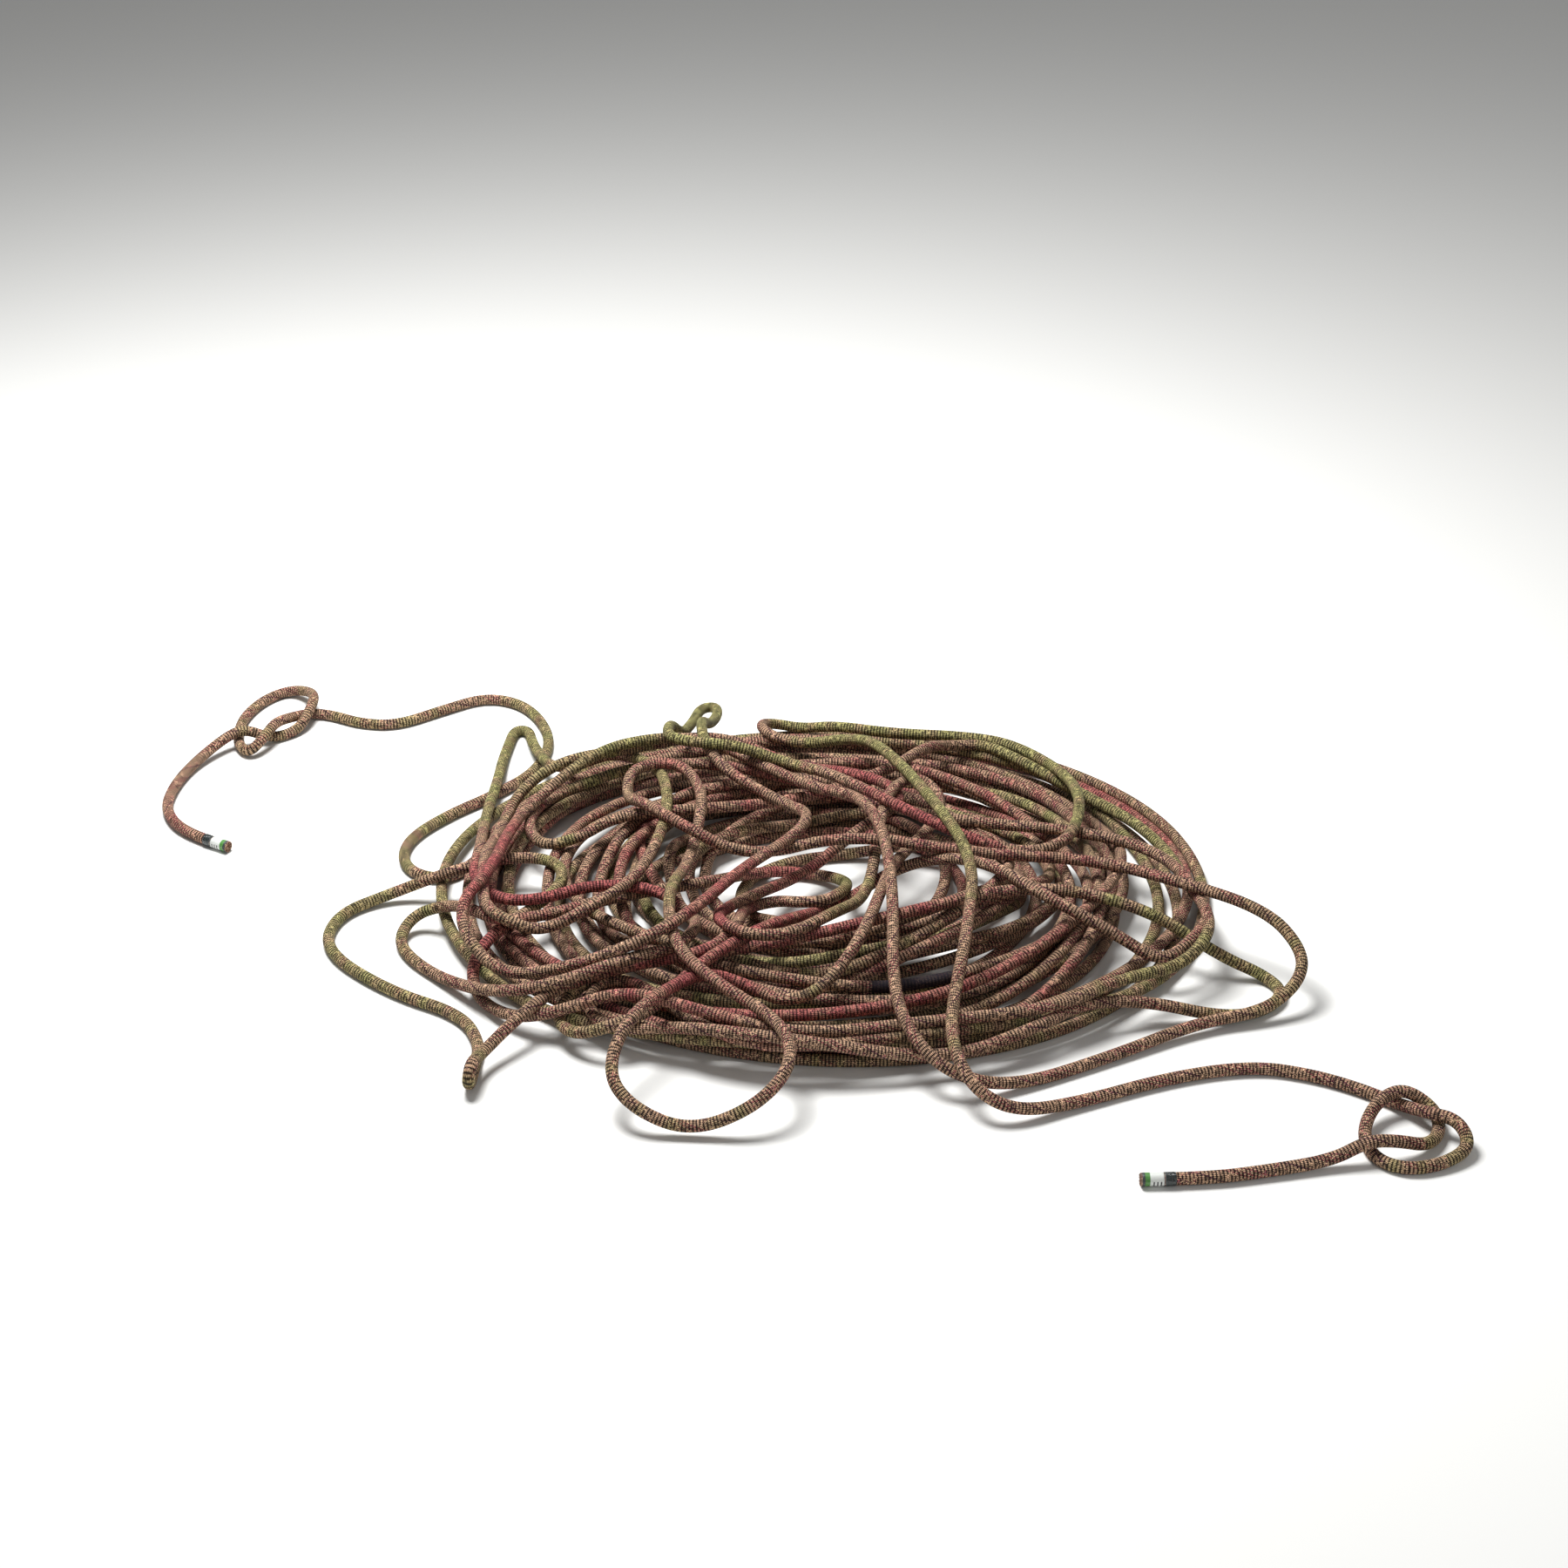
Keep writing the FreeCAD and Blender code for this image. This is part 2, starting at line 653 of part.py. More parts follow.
def least_gap(edges_by_name, diameter):
    """The least gap between any two places on the rope more than five diameters apart."""
    step = 2.0
    reach = 2 * diameter
    own_length = 5 * diameter
    cells = {}
    length = 0.0
    least = (math.inf, None)
    for name, edges in edges_by_name.items():
        for edge in edges:
            count = max(1, int(edge.Length / step))
            first, last = edge.FirstParameter, edge.LastParameter
            for k in range(count):
                p = edge.valueAt(first + (last - first) * (k + 0.5) / count)
                here = length + edge.Length * (k + 0.5) / count
                cell = (int(p.x // reach), int(p.y // reach))
                for other in [(cell[0] + i, cell[1] + j) for i in (-1, 0, 1) for j in (-1, 0, 1)]:
                    for q, there, its_name in cells.get(other, ()):
                        if here - there > own_length:
                            gap = p.distanceToPoint(q) - diameter
                            if gap < least[0]:
                                least = (gap, (name, its_name, p))
                cells.setdefault(cell, []).append((p, here, name))
            length += edge.Length
    return least, length


def check_tubes(size, edges, tubes, parts):
    """Print the radii, the least gap, and each tube's volume against section times length."""
    for tube in tubes:
        radii = sorted(tube.radii)
        print("points %d, tightest radii %s mm, widest %d mm"
              % (len(tube.points), ", ".join("%.0f" % r for r in radii[:8]), radii[-1]))
    for names in (["heap_coil"], list(edges)):
        chosen = {name: edges[name] for name in names}
        (gap, where), length = least_gap(chosen, size["rope_diameter"])
        print("least gap of the rope to itself %.2f mm, at %s, over %.2f m"
              % (gap, where, length / 1000))
    outer = size["rope_diameter"] / 2
    bore = outer - size["sheath_wall"]
    for name, made in edges.items():
        length = sum(edge.Length for edge in made)
        share = parts[name + "_sheath"].Shape.Volume / (math.pi * (outer**2 - bore**2) * length)
        print("%s %.2f m, volume over section times length %.4f" % (name, length / 1000, share))


def check_document(doc, parts):
    for item in doc.Objects:
        if "Invalid" in item.State or "Error" in item.State:
            raise RuntimeError("%s failed: %s" % (item.Label, item.State))
    for name, part in parts.items():
        if part.Shape.isNull() or not part.Shape.isValid():
            raise RuntimeError("%s has no valid shape" % name)


def main():
    doc = FreeCAD.newDocument("climbing_rope")
    sheet = add_sheet(doc)
    size = {name: float(sheet.get(name)) for name in SIZES}
    edges, left_tube, right_tube = lay_rope(size)

    made = []
    for name, path in edges.items():
        if name in ("left_tail", "right_tail"):
            made += add_tail(doc, name, path, size, name == "right_tail")
            continue
        sheath, core = add_stretch(doc, name, path)
        if name == "heap_coil":
            sheath = press_flat(doc, sheath, size)
        made += [sheath, core]
    left, right = left_tube.points, right_tube.points
    made += add_end(doc, "left", left[0], left[1] - left[0], size)
    made += add_end(doc, "right", right[-1], right[-2] - right[-1], size)

    doc.recompute()
    parts = {part.Label: part for part in made}
    check_document(doc, parts)
    check_tubes(size, edges, (left_tube, right_tube), parts)
    os.makedirs("parts", exist_ok=True)
    for name, part in parts.items():
        part.Shape.exportStep("parts/%s.step" % name)
    box = Part.makeCompound([part.Shape for part in made]).BoundBox
    print("box", box)


main()
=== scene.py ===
import math
import random

import bmesh
import bpy
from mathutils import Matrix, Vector


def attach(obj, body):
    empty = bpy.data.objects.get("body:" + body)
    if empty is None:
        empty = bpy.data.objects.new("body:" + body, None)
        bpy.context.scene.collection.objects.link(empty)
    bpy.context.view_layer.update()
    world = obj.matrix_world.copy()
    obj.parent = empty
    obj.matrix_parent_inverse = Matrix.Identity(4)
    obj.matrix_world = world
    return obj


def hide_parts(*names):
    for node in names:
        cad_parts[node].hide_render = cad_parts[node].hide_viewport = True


bl_info = {
    "name": "Dynamic climbing rope",
    "version": (1, 0, 0),
    "blender": (4, 5, 0),
    "location": "3D View > Sidebar > Rope",
    "description": "Builds a braided rope in a loose heap, with a labelled sleeve at each end",
    "category": "Add Mesh",
}

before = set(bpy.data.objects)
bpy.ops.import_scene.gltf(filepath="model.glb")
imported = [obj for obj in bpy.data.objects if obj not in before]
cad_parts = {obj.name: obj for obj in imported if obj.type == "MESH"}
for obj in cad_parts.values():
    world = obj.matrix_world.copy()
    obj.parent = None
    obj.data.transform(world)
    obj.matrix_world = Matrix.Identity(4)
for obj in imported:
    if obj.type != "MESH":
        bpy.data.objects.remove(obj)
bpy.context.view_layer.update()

# Route points are (x, y) in metres, laid on whatever is below them, or (x, y, lift), where the
# lift is a height over the rope's height on the ground, in rope diameters.
LEFT_TAIL = [
    (-0.471, 0.085, 0), (-0.513, 0.107, 0), (-0.54, 0.147, 0), (-0.541, 0.19, 0),
    (-0.531, 0.233, 0),
]

LEFT_KNOT = [
    (-0.507, 0.269, 0.9), (-0.49, 0.28, 1.3), (-0.466, 0.283, 0), (-0.443, 0.299, 0),
    (-0.434, 0.322, 1.15), (-0.433, 0.346, 1.3), (-0.446, 0.371, 0.5), (-0.466, 0.38, 0),
    (-0.486, 0.361, 0), (-0.499, 0.328, 0), (-0.5, 0.296, 0), (-0.494, 0.268, 0),
    (-0.481, 0.252, 0.2), (-0.469, 0.268, 1.1), (-0.462, 0.289, 1.5), (-0.45, 0.314, 0.7),
    (-0.436, 0.334, 0),
]

LEFT_LEAD = [
    (-0.415, 0.33, 0), (-0.385, 0.313, 0), (-0.35, 0.31, 0), (-0.31, 0.34, 0),
    (-0.272, 0.366, 0), (-0.236, 0.354, 0), (-0.212, 0.318, 0), (-0.2, 0.272, 0),
    (-0.21, 0.22, 0), (-0.243, 0.178, 0), (-0.282, 0.142, 0), (-0.312, 0.102, 0),
    (-0.316, 0.066, 0), (-0.301, 0.04, 0), (-0.275, 0.032, 0), (-0.256, 0.048, 0),
]

# Each of these loops is laid over the ones before it.
LOOPS = {
    "front_left_bend": [
        (0.03, -0.252), (-0.015, -0.243), (-0.055, -0.214), (-0.08, -0.181), (-0.104, -0.16),
        (-0.128, -0.162), (-0.136, -0.184), (-0.127, -0.206), (-0.1, -0.218), (-0.07, -0.223),
        (-0.035, -0.24), (0.035, -0.255), (0.145, -0.25), (0.22, -0.22), (0.258, -0.187),
        (0.31, -0.175), (0.37, -0.176), (0.405, -0.168), (0.426, -0.142), (0.413, -0.116),
        (0.376, -0.111), (0.315, -0.08),
    ],
    "right_return": [
        (0.225, -0.06), (0.12, -0.105), (0.01, -0.13), (-0.07, -0.14), (-0.12, -0.15),
        (-0.15, -0.168), (-0.161, -0.195), (-0.145, -0.219), (-0.115, -0.225), (-0.082, -0.209),
    ],
    "middle_crossing": [
        (-0.05, -0.17), (0.005, -0.11), (0.065, -0.025), (0.12, 0.005), (0.18, -0.03),
        (0.235, -0.095), (0.29, -0.113), (0.326, -0.131), (0.354, -0.112), (0.372, -0.078),
        (0.37, -0.015), (0.345, 0.085), (0.283, 0.155), (0.235, 0.195), (0.205, 0.224),
        (0.174, 0.221), (0.15, 0.195), (0.115, 0.15), (0.03, 0.105), (-0.065, 0.08),
    ],
    "left_fold": [
        (-0.125, 0.07), (-0.159, 0.05), (-0.19, 0.048), (-0.205, 0.076), (-0.201, 0.11),
        (-0.175, 0.15), (-0.1, 0.175), (-0.015, 0.15), (0.07, 0.1), (0.165, 0.075), (0.28, 0.05),
        (0.345, 0.01), (0.366, -0.065), (0.368, -0.115), (0.34, -0.142), (0.293, -0.165),
        (0.23, -0.21), (0.135, -0.223), (0.03, -0.245), (-0.045, -0.225),
    ],
    "left_front_return": [
        (-0.105, -0.195), (-0.16, -0.2), (-0.196, -0.188), (-0.227, -0.152), (-0.236, -0.12),
        (-0.22, -0.092), (-0.19, -0.055), (-0.169, -0.022), (-0.169, 0.01), (-0.19, 0.031),
        (-0.222, 0.026), (-0.262, 0.007), (-0.318, 0.006), (-0.36, -0.025), (-0.363, -0.08),
        (-0.3, -0.14), (-0.238, -0.172), (-0.219, -0.213), (-0.221, -0.243, 0),
        (-0.222, -0.266, 0), (-0.222, -0.276, 1), (-0.22, -0.266, 2.1), (-0.216, -0.242),
        (-0.19, -0.208),
        (-0.16, -0.172), (-0.1, -0.155), (-0.04, -0.15),
    ],
    "centre_hook": [
        (-0.017, -0.108), (-0.016, -0.062), (-0.008, -0.031), (0.014, -0.027), (0.033, -0.049),
        (0.056, -0.047), (0.075, -0.018), (0.071, 0.02), (0.045, 0.041), (0.005, 0.04),
        (-0.042, -0.005), (-0.12, -0.045), (-0.175, -0.077), (-0.212, -0.088), (-0.243, -0.065),
        (-0.265, -0.041), (-0.291, -0.038), (-0.303, -0.061), (-0.29, -0.091), (-0.257, -0.124),
        (-0.212, -0.17), (-0.165, -0.185), (-0.108, -0.168),
    ],
    "left_spike": [
        (-0.066, -0.15), (-0.05, -0.116), (-0.056, -0.071), (-0.084, -0.044), (-0.138, -0.036),
        (-0.182, -0.056), (-0.218, -0.053), (-0.244, -0.02), (-0.241, 0.034), (-0.246, 0.113),
        (-0.242, 0.19), (-0.243, 0.235), (-0.24, 0.271), (-0.237, 0.299), (-0.223, 0.299),
        (-0.218, 0.271), (-0.209, 0.24), (-0.196, 0.203), (-0.173, 0.182), (-0.14, 0.186),
        (-0.108, 0.168), (-0.085, 0.126), (-0.08, 0.05), (-0.101, -0.04), (-0.14, -0.083),
        (-0.178, -0.098), (-0.208, -0.099), (-0.227, -0.076), (-0.231, -0.045), (-0.235, 0.006),
        (-0.23, 0.075), (-0.218, 0.127), (-0.18, 0.153),
    ],
    "back_crossing": [
        (-0.118, 0.172), (-0.04, 0.205), (0.03, 0.18), (0.076, 0.137), (0.112, 0.115),
        (0.124, 0.086), (0.107, 0.064), (0.078, 0.049), (0.038, 0.018), (-0.014, -0.04),
        (-0.035, -0.084), (-0.031, -0.122), (-0.007, -0.141), (0.026, -0.135), (0.06, -0.103),
        (0.091, -0.035), (0.101, 0.03),
    ],
    "centre_arch": [
        (0.108, 0.07), (0.119, 0.099), (0.138, 0.112), (0.156, 0.1), (0.157, 0.075),
        (0.142, 0.045), (0.117, 0.005), (0.104, -0.06), (0.085, -0.14), (0.055, -0.184),
        (0.022, -0.19), (-0.01, -0.171), (-0.039, -0.172), (-0.064, -0.199), (-0.1, -0.245),
        (-0.115, -0.29), (-0.094, -0.317), (-0.05, -0.326), (0, -0.321), (0.028, -0.29),
        (0.019, -0.242), (-0.033, -0.205),
    ],
    "left_hook": [
        (-0.069, -0.158), (-0.076, -0.075), (-0.061, 0.015), (-0.051, 0.07), (-0.054, 0.107),
        (-0.07, 0.132), (-0.095, 0.137), (-0.117, 0.12), (-0.118, 0.09), (-0.102, 0.064),
        (-0.068, 0.026), (-0.01, 0.01), (0.075, 0.014), (0.18, -0.02), (0.28, -0.011),
        (0.345, -0.05), (0.414, -0.095), (0.44, -0.129), (0.434, -0.156), (0.404, -0.176),
        (0.35, -0.188), (0.275, -0.23), (0.196, -0.27), (0.146, -0.277),
    ],
    "tall_strand": [
        (0.116, -0.248), (0.105, -0.195), (0.109, -0.1), (0.105, 0.005), (0.086, 0.064),
        (0.046, 0.098), (-0.005, 0.143), (-0.048, 0.178), (-0.092, 0.181), (-0.15, 0.155),
        (-0.208, 0.103), (-0.218, 0.04), (-0.226, -0.038), (-0.245, -0.083), (-0.24, -0.116),
        (-0.205, -0.147), (-0.136, -0.165), (-0.084, -0.158), (-0.05, -0.117), (-0.017, -0.04),
        (0.029, 0.017), (0.044, 0.056), (0.019, 0.092), (-0.033, 0.122), (-0.052, 0.16),
        (-0.056, 0.2), (-0.049, 0.238, 4), (-0.042, 0.268, 3.4), (-0.044, 0.291, 3.1),
        (-0.059, 0.287, 3.1), (-0.065, 0.256, 3.3), (-0.074, 0.226, 3.7), (-0.084, 0.195),
        (-0.085, 0.16),
    ],
    "back_parallel": [
        (-0.055, 0.146), (-0.024, 0.143), (0.024, 0.138), (0.062, 0.104), (0.12, 0.046),
        (0.18, 0.011), (0.225, 0.004), (0.256, 0.013), (0.272, 0.043), (0.281, 0.095),
        (0.273, 0.17), (0.232, 0.223), (0.19, 0.24), (0.12, 0.246), (0.068, 0.261),
        (0.038, 0.284), (0.01, 0.286), (-0.004, 0.264), (0.008, 0.24),
    ],
    "top_strand": [
        (0.04, 0.227), (0.076, 0.208), (0.104, 0.16), (0.146, 0.065), (0.179, -0.04),
        (0.166, -0.15), (0.15, -0.22), (0.149, -0.268), (0.164, -0.3), (0.194, -0.309),
        (0.24, -0.291), (0.32, -0.256), (0.385, -0.242), (0.428, -0.253, 0),
    ],
}

RIGHT_KNOT = [
    (0.462, -0.271, 0), (0.488, -0.291, 0), (0.505, -0.316, 1.1), (0.525, -0.326, 1.2),
    (0.531, -0.347, 0.3), (0.508, -0.364, 0), (0.478, -0.371, 0), (0.457, -0.358, 0),
    (0.453, -0.33, 0.1), (0.466, -0.303, 0.9), (0.489, -0.289, 1.55), (0.513, -0.3, 0.4),
    (0.514, -0.323, 0), (0.5, -0.345, 0.2), (0.474, -0.35, 1.1), (0.452, -0.353, 1.3),
    (0.425, -0.362, 0.2),
]

RIGHT_TAIL = [
    (0.38, -0.372, 0), (0.33, -0.382, 0), (0.281, -0.383, 0),
]

# Stretches of the rope where the yarn is dyed greener or pinker: first and last route point,
# and how far, from -1, all green, to 1, all pink.
DYES = {
    "left_tail": [(1, 2, 0.4)],
    "left_knot": [(1, 6, -0.3), (9, 13, -0.3)],
    "left_lead": [(0, 3, -0.4), (5, 8, -0.6), (10, 14, -0.5)],
    "front_left_bend": [(1, 1, 0.5), (4, 4, 0.7), (16, 21, -0.6)],
    "right_return": [(1, 2, 0.6), (5, 8, -0.4)],
    "middle_crossing": [(0, 2, 0.6), (9, 9, 0.6), (10, 14, -0.7), (18, 18, 0.6)],
    "left_fold": [(1, 2, -0.4), (4, 4, 0.5), (5, 6, -0.6), (7, 8, 0.6), (12, 12, 0.7),
                  (13, 15, -0.6), (19, 19, 0.5)],
    "left_front_return": [(0, 0, 0.5), (4, 5, 0.8), (6, 9, -0.6), (10, 10, 0.8),
                          (12, 15, -0.6), (16, 22, -0.4), (25, 26, 0.6)],
    "centre_hook": [(1, 2, 0.5), (6, 7, -0.8), (8, 9, 0.7), (12, 14, 0.4), (15, 18, -0.5)],
    "left_spike": [(3, 7, 0.9), (9, 17, -0.7), (20, 22, -0.6), (26, 26, -0.5), (28, 28, 0.8),
                   (31, 32, -0.5)],
    "back_crossing": [(0, 0, -0.5), (2, 5, 0.7), (8, 8, 0.8), (10, 11, 0.8), (14, 15, -0.5)],
    "centre_arch": [(2, 2, 0.6), (9, 10, -0.3), (11, 13, 0.8), (15, 18, -0.3), (21, 21, 0.5)],
    "left_hook": [(1, 1, -0.7), (5, 6, 0.5), (8, 8, -0.4), (10, 10, 0.5), (12, 15, 0.3),
                  (16, 19, -0.4)],
    "tall_strand": [(3, 7, 0.2), (8, 9, -0.7), (11, 13, 0.7), (14, 14, -0.4), (18, 19, 0.6),
                    (23, 23, 0.4), (24, 34, -0.8)],
    "back_parallel": [(0, 2, -0.7), (4, 5, 0.8), (8, 16, -0.7)],
    "top_strand": [(0, 4, -0.7), (6, 7, -0.3)],
    "right_knot": [(2, 2, 0.5), (3, 6, -0.4), (11, 13, -0.4)],
}

# How the rope's route is cut into meshes, and the CAD stretches that each mesh stands for.
PIECES = [
    ("rope_left_end", ["left_tail", "left_knot", "left_lead"], "bare", "loose"),
    ("rope_lower_coil", ["heap_coil"], "object", "coiled"),
    ("rope_middle_coil", ["heap_coil"], "object", "coiled"),
    ("rope_upper_coil", ["heap_coil"], "object", "coiled"),
    ("rope_lower_loops", ["front_left_bend", "right_return", "middle_crossing", "left_fold",
                          "left_front_return", "centre_hook"], "object", "loose"),
    ("rope_upper_loops", ["left_spike", "back_crossing", "centre_arch", "left_hook",
                          "tall_strand", "back_parallel", "top_strand"], "object", "loose"),
    ("rope_right_end", ["right_knot", "right_tail"], "bare", "loose"),
]
COIL_PIECES = 3

COIL_CENTRE = (0.060, 0.015)
COIL_START_ANGLE = 19.0

# How the loose turns stray and change their dye: changes per turn, the share of the widest turn
# at which they no longer drift, and the strongest dye.
WIDTH_RATE = 3.1
DRIFT_RATE = 1.4
DYE_RATE = 3.0
DRIFT_SHARE = 1.3
COIL_DYE = 0.65

# How far a turn may slide to emptier ground, as shares of the widest turn, and what it costs
# to slide at all, or further than the point before.
SLIDE_STEP = 0.02
SLIDE_STEPS = 4
SLIDE_MOST = SLIDE_STEP * SLIDE_STEPS
CHANGE_COST = 0.25
SLIDE_COST = 0.5
WIDEST_SHARE = 1.03

# Size of the patches of ground on which the rope's cover is counted.
COVER_PATCH = 0.012

# How the rope is laid on the pile: the step between places that are tested, how many points are
# settled at once, how many of them are settled again with the next ones, and the sweeps of each.
LAY_STEP = 0.004
LOOK_AHEAD = 18
UNSETTLED = 5
SWEEPS = 12

# Shares of a route point in the curve: under the first it isn't heeded, over the second it may
# be let down.
LEAST_SHARE = 0.02
MOVING_SHARE = 0.08

# The rope doesn't rest on its own last stretch, which is this many diameters long. Runs further
# back than nearly that, and nearer than this many reaches, count as crossing.
OWN_DIAMETERS = 6
NEAR_OWN = 0.8
NEAR_REACH = 1.3

# The curve's steps per point, the braid's yarns each way round, and how long a stitch is.
SPLINE_RESOLUTION = 12
BRAID_CARRIERS = 24
STITCH_LENGTH = 0.0028

# The sheath's dyed patches and worn flecks: noise scales, and the dye at which a colour starts
# and is full.
DYE_PATCH_SCALE = 60.0
DYE_PATCH_STRENGTH = 0.8
GREEN_DYE = (0.12, 0.85)
PINK_DYE = (0.08, 0.85)
FLECK_SCALE = 420.0
FLECK_LEVEL = 0.6
WORN_RANGE = (0.2, 1.7)

# The dark mark at the rope's middle is on the highest turn near this place.
MARK_NEAR = Vector((0.128, -0.161))
MARK_HALF = 0.034

# Bands of the printed label, as distances from the cut end, and the core's strands there.
LABEL_RIM = 0.003
LABEL_GREEN_END = 0.0066
LABEL_BARS = (0.0078, 0.0162)
LABEL_BAR_STEP = 0.0027
LABEL_DARK_FROM = 0.0168
STRAND_RADIUS = 0.00095
STRAND_DEPTH = 0.004
STRAND_PROUD = 0.0009
STRAND_RINGS = ((1, 0.0), (5, 0.0019), (10, 0.0037))

# Linear colours of the yarns.
SAND = (0.62, 0.39, 0.25, 1)
MAUVE = (0.2, 0.08, 0.09, 1)
ROSE = (0.4, 0.13, 0.12, 1)
COCOA = (0.008, 0.004, 0.005, 1)
PLUM = (0.014, 0.005, 0.009, 1)
UMBER = (0.026, 0.01, 0.009, 1)
OLIVE = (0.42, 0.43, 0.15, 1)
MOSS = (0.026, 0.026, 0.008, 1)
CORAL = (0.52, 0.12, 0.12, 1)
WINE = (0.06, 0.01, 0.016, 1)
INK = (0.006, 0.005, 0.011, 1)

# Linear colours of the ends.
LEAF = (0.05, 0.24, 0.012, 1)
PAPER = (0.78, 0.80, 0.76, 1)
RIM = (0.012, 0.018, 0.02, 1)
FILM = (0.3, 0.33, 0.33, 1)
SMOKE = (0.02, 0.03, 0.03, 1)
AMBER = (0.22, 0.085, 0.025, 1)
CHAR = (0.03, 0.014, 0.008, 1)

# The stage: the floor's half size and colour, and where the lights hang and how wide they are.
FLOOR_HALF = 30.0
FLOOR_COLOUR = (0.82, 0.82, 0.8, 1)
LIGHTS_AIM = Vector((0.05, 0, 0))
KEY_LIGHT = ((-0.45, 0.45, 1.7), 0.9)
FILL_LIGHT = ((1.4, -1.5, 1.0), 1.2)


class RopeSettings(bpy.types.PropertyGroup):
    """Sizes of the rope and of the heap that it lies in."""

    diameter: bpy.props.FloatProperty(
        name="Diameter", description="Outside of the braided sheath", default=0.0098,
        min=0.005, max=0.015, precision=4, unit="LENGTH", subtype="DISTANCE")
    crossing_gap: bpy.props.FloatProperty(
        name="Crossing gap", description="Between a stretch and what it is pressed on",
        default=-0.0008, min=-0.001, max=0.003, precision=4, unit="LENGTH", subtype="DISTANCE")
    steepest_slope: bpy.props.FloatProperty(
        name="Steepest slope", description="Climb per length along the ground",
        default=0.42, min=0.1, max=1.0, subtype="FACTOR")
    coil_turns: bpy.props.FloatProperty(
        name="Coil turns", description="Loops that lie under the free loops",
        default=23.675, min=4, max=30)
    coil_points: bpy.props.IntProperty(
        name="Points per turn", description="Route points in one turn of the coil",
        default=14, min=12, max=24)
    coil_half_length: bpy.props.FloatProperty(
        name="Coil half length", description="Widest turn, middle to centre line, along X",
        default=0.318, min=0.1, max=0.5, unit="LENGTH", subtype="DISTANCE")
    coil_half_width: bpy.props.FloatProperty(
        name="Coil half width", description="Widest turn, middle to centre line, along Y",
        default=0.262, min=0.1, max=0.5, unit="LENGTH", subtype="DISTANCE")
    coil_inner_share: bpy.props.FloatProperty(
        name="Inner share", description="Narrowest turn as a share of the widest",
        default=0.36, min=0.1, max=0.9, subtype="FACTOR")
    looseness: bpy.props.FloatProperty(
        name="Looseness", description="How far a turn strays from an even spiral",
        default=0.1, min=0, max=0.3, subtype="FACTOR")
    drift: bpy.props.FloatProperty(
        name="Drift", description="How far the narrow turns lie off the middle",
        default=0.06, min=0, max=0.15, unit="LENGTH", subtype="DISTANCE")
    seed: bpy.props.IntProperty(
        name="Seed", description="Picks one way for the turns to fall", default=31, min=0)
    ring_step: bpy.props.FloatProperty(
        name="Ring step", description="Between two rings of the tube's mesh", default=0.0032,
        min=0.001, max=0.01, precision=4, unit="LENGTH", subtype="DISTANCE")
    sides: bpy.props.IntProperty(
        name="Sides", description="Faces around the tube", default=20, min=8, max=48)


class EndSettings(bpy.types.PropertyGroup):
    """Sizes of the label and sleeve at a cut end."""

    label_wall: bpy.props.FloatProperty(
        name="Label wall", description="Printed film round the rope", default=0.00015,
        precision=5, unit="LENGTH", subtype="DISTANCE")
    label_length: bpy.props.FloatProperty(
        name="Label length", description="Along the rope", default=0.016, precision=4,
        unit="LENGTH", subtype="DISTANCE")
    label_setback: bpy.props.FloatProperty(
        name="Label setback", description="From the cut end to the label", default=0.001,
        precision=4, unit="LENGTH", subtype="DISTANCE")
    sleeve_wall: bpy.props.FloatProperty(
        name="Sleeve wall", description="Clear film over the label", default=0.0004,
        precision=5, unit="LENGTH", subtype="DISTANCE")
    sleeve_clearance: bpy.props.FloatProperty(
        name="Sleeve clearance", description="Between the label and the sleeve",
        default=0.00005, precision=5, unit="LENGTH", subtype="DISTANCE")
    sleeve_length: bpy.props.FloatProperty(
        name="Sleeve length", description="Along the rope", default=0.026, precision=4,
        unit="LENGTH", subtype="DISTANCE")


class StageSettings(bpy.types.PropertyGroup):
    """Where the camera stands, and how bright the lights are."""

    camera_place: bpy.props.FloatVectorProperty(
        name="Camera place", description="In the part's frame",
        default=(0.020, -1.930, 1.233), unit="LENGTH", subtype="TRANSLATION")
    camera_pitch: bpy.props.FloatProperty(
        name="Camera pitch", description="Below level", default=math.radians(30),
        unit="ROTATION", subtype="ANGLE")
    lens: bpy.props.FloatProperty(
        name="Lens", description="Focal length on a 36 mm sensor", default=61.26,
        unit="CAMERA", subtype="DISTANCE_CAMERA")
    key_power: bpy.props.FloatProperty(
        name="Key power", description="Large soft light over the heap", default=60,
        unit="POWER")
    fill_power: bpy.props.FloatProperty(
        name="Fill power", description="Low soft light from the viewer's right", default=5,
        unit="POWER")
    surround: bpy.props.FloatProperty(
        name="Surround", description="Strength of the light from all round", default=0.24)


def smooth_noise(rng, count):
    """A smooth curve through random values from -1 to 1, one per unit."""
    values = [rng.uniform(-1, 1) for _ in range(count + 2)]

    def at(t):
        k = min(int(t), count)
        share = (1 - math.cos(math.pi * (t - k))) / 2
        return values[k] * (1 - share) + values[k + 1] * share

    return at


class Cover:
    """How many times the rope already passes over each patch of the ground."""

    def __init__(self):
        self.counts = {}

    def patches(self, start, end):
        """The patches that a run passes over."""
        steps = max(1, int(math.dist(start, end) / (COVER_PATCH / 2)))
        found = set()
        for k in range(steps):
            x = start[0] + (end[0] - start[0]) * (k + 0.5) / steps
            y = start[1] + (end[1] - start[1]) * (k + 0.5) / steps
            found.add((int(x // COVER_PATCH), int(y // COVER_PATCH)))
        return found

    def over(self, start, end):
        patches = self.patches(start, end)
        return sum(self.counts.get(patch, 0) ** 2 for patch in patches) / len(patches)

    def add(self, start, end):
        for patch in self.patches(start, end):
            self.counts[patch] = self.counts.get(patch, 0) + 1


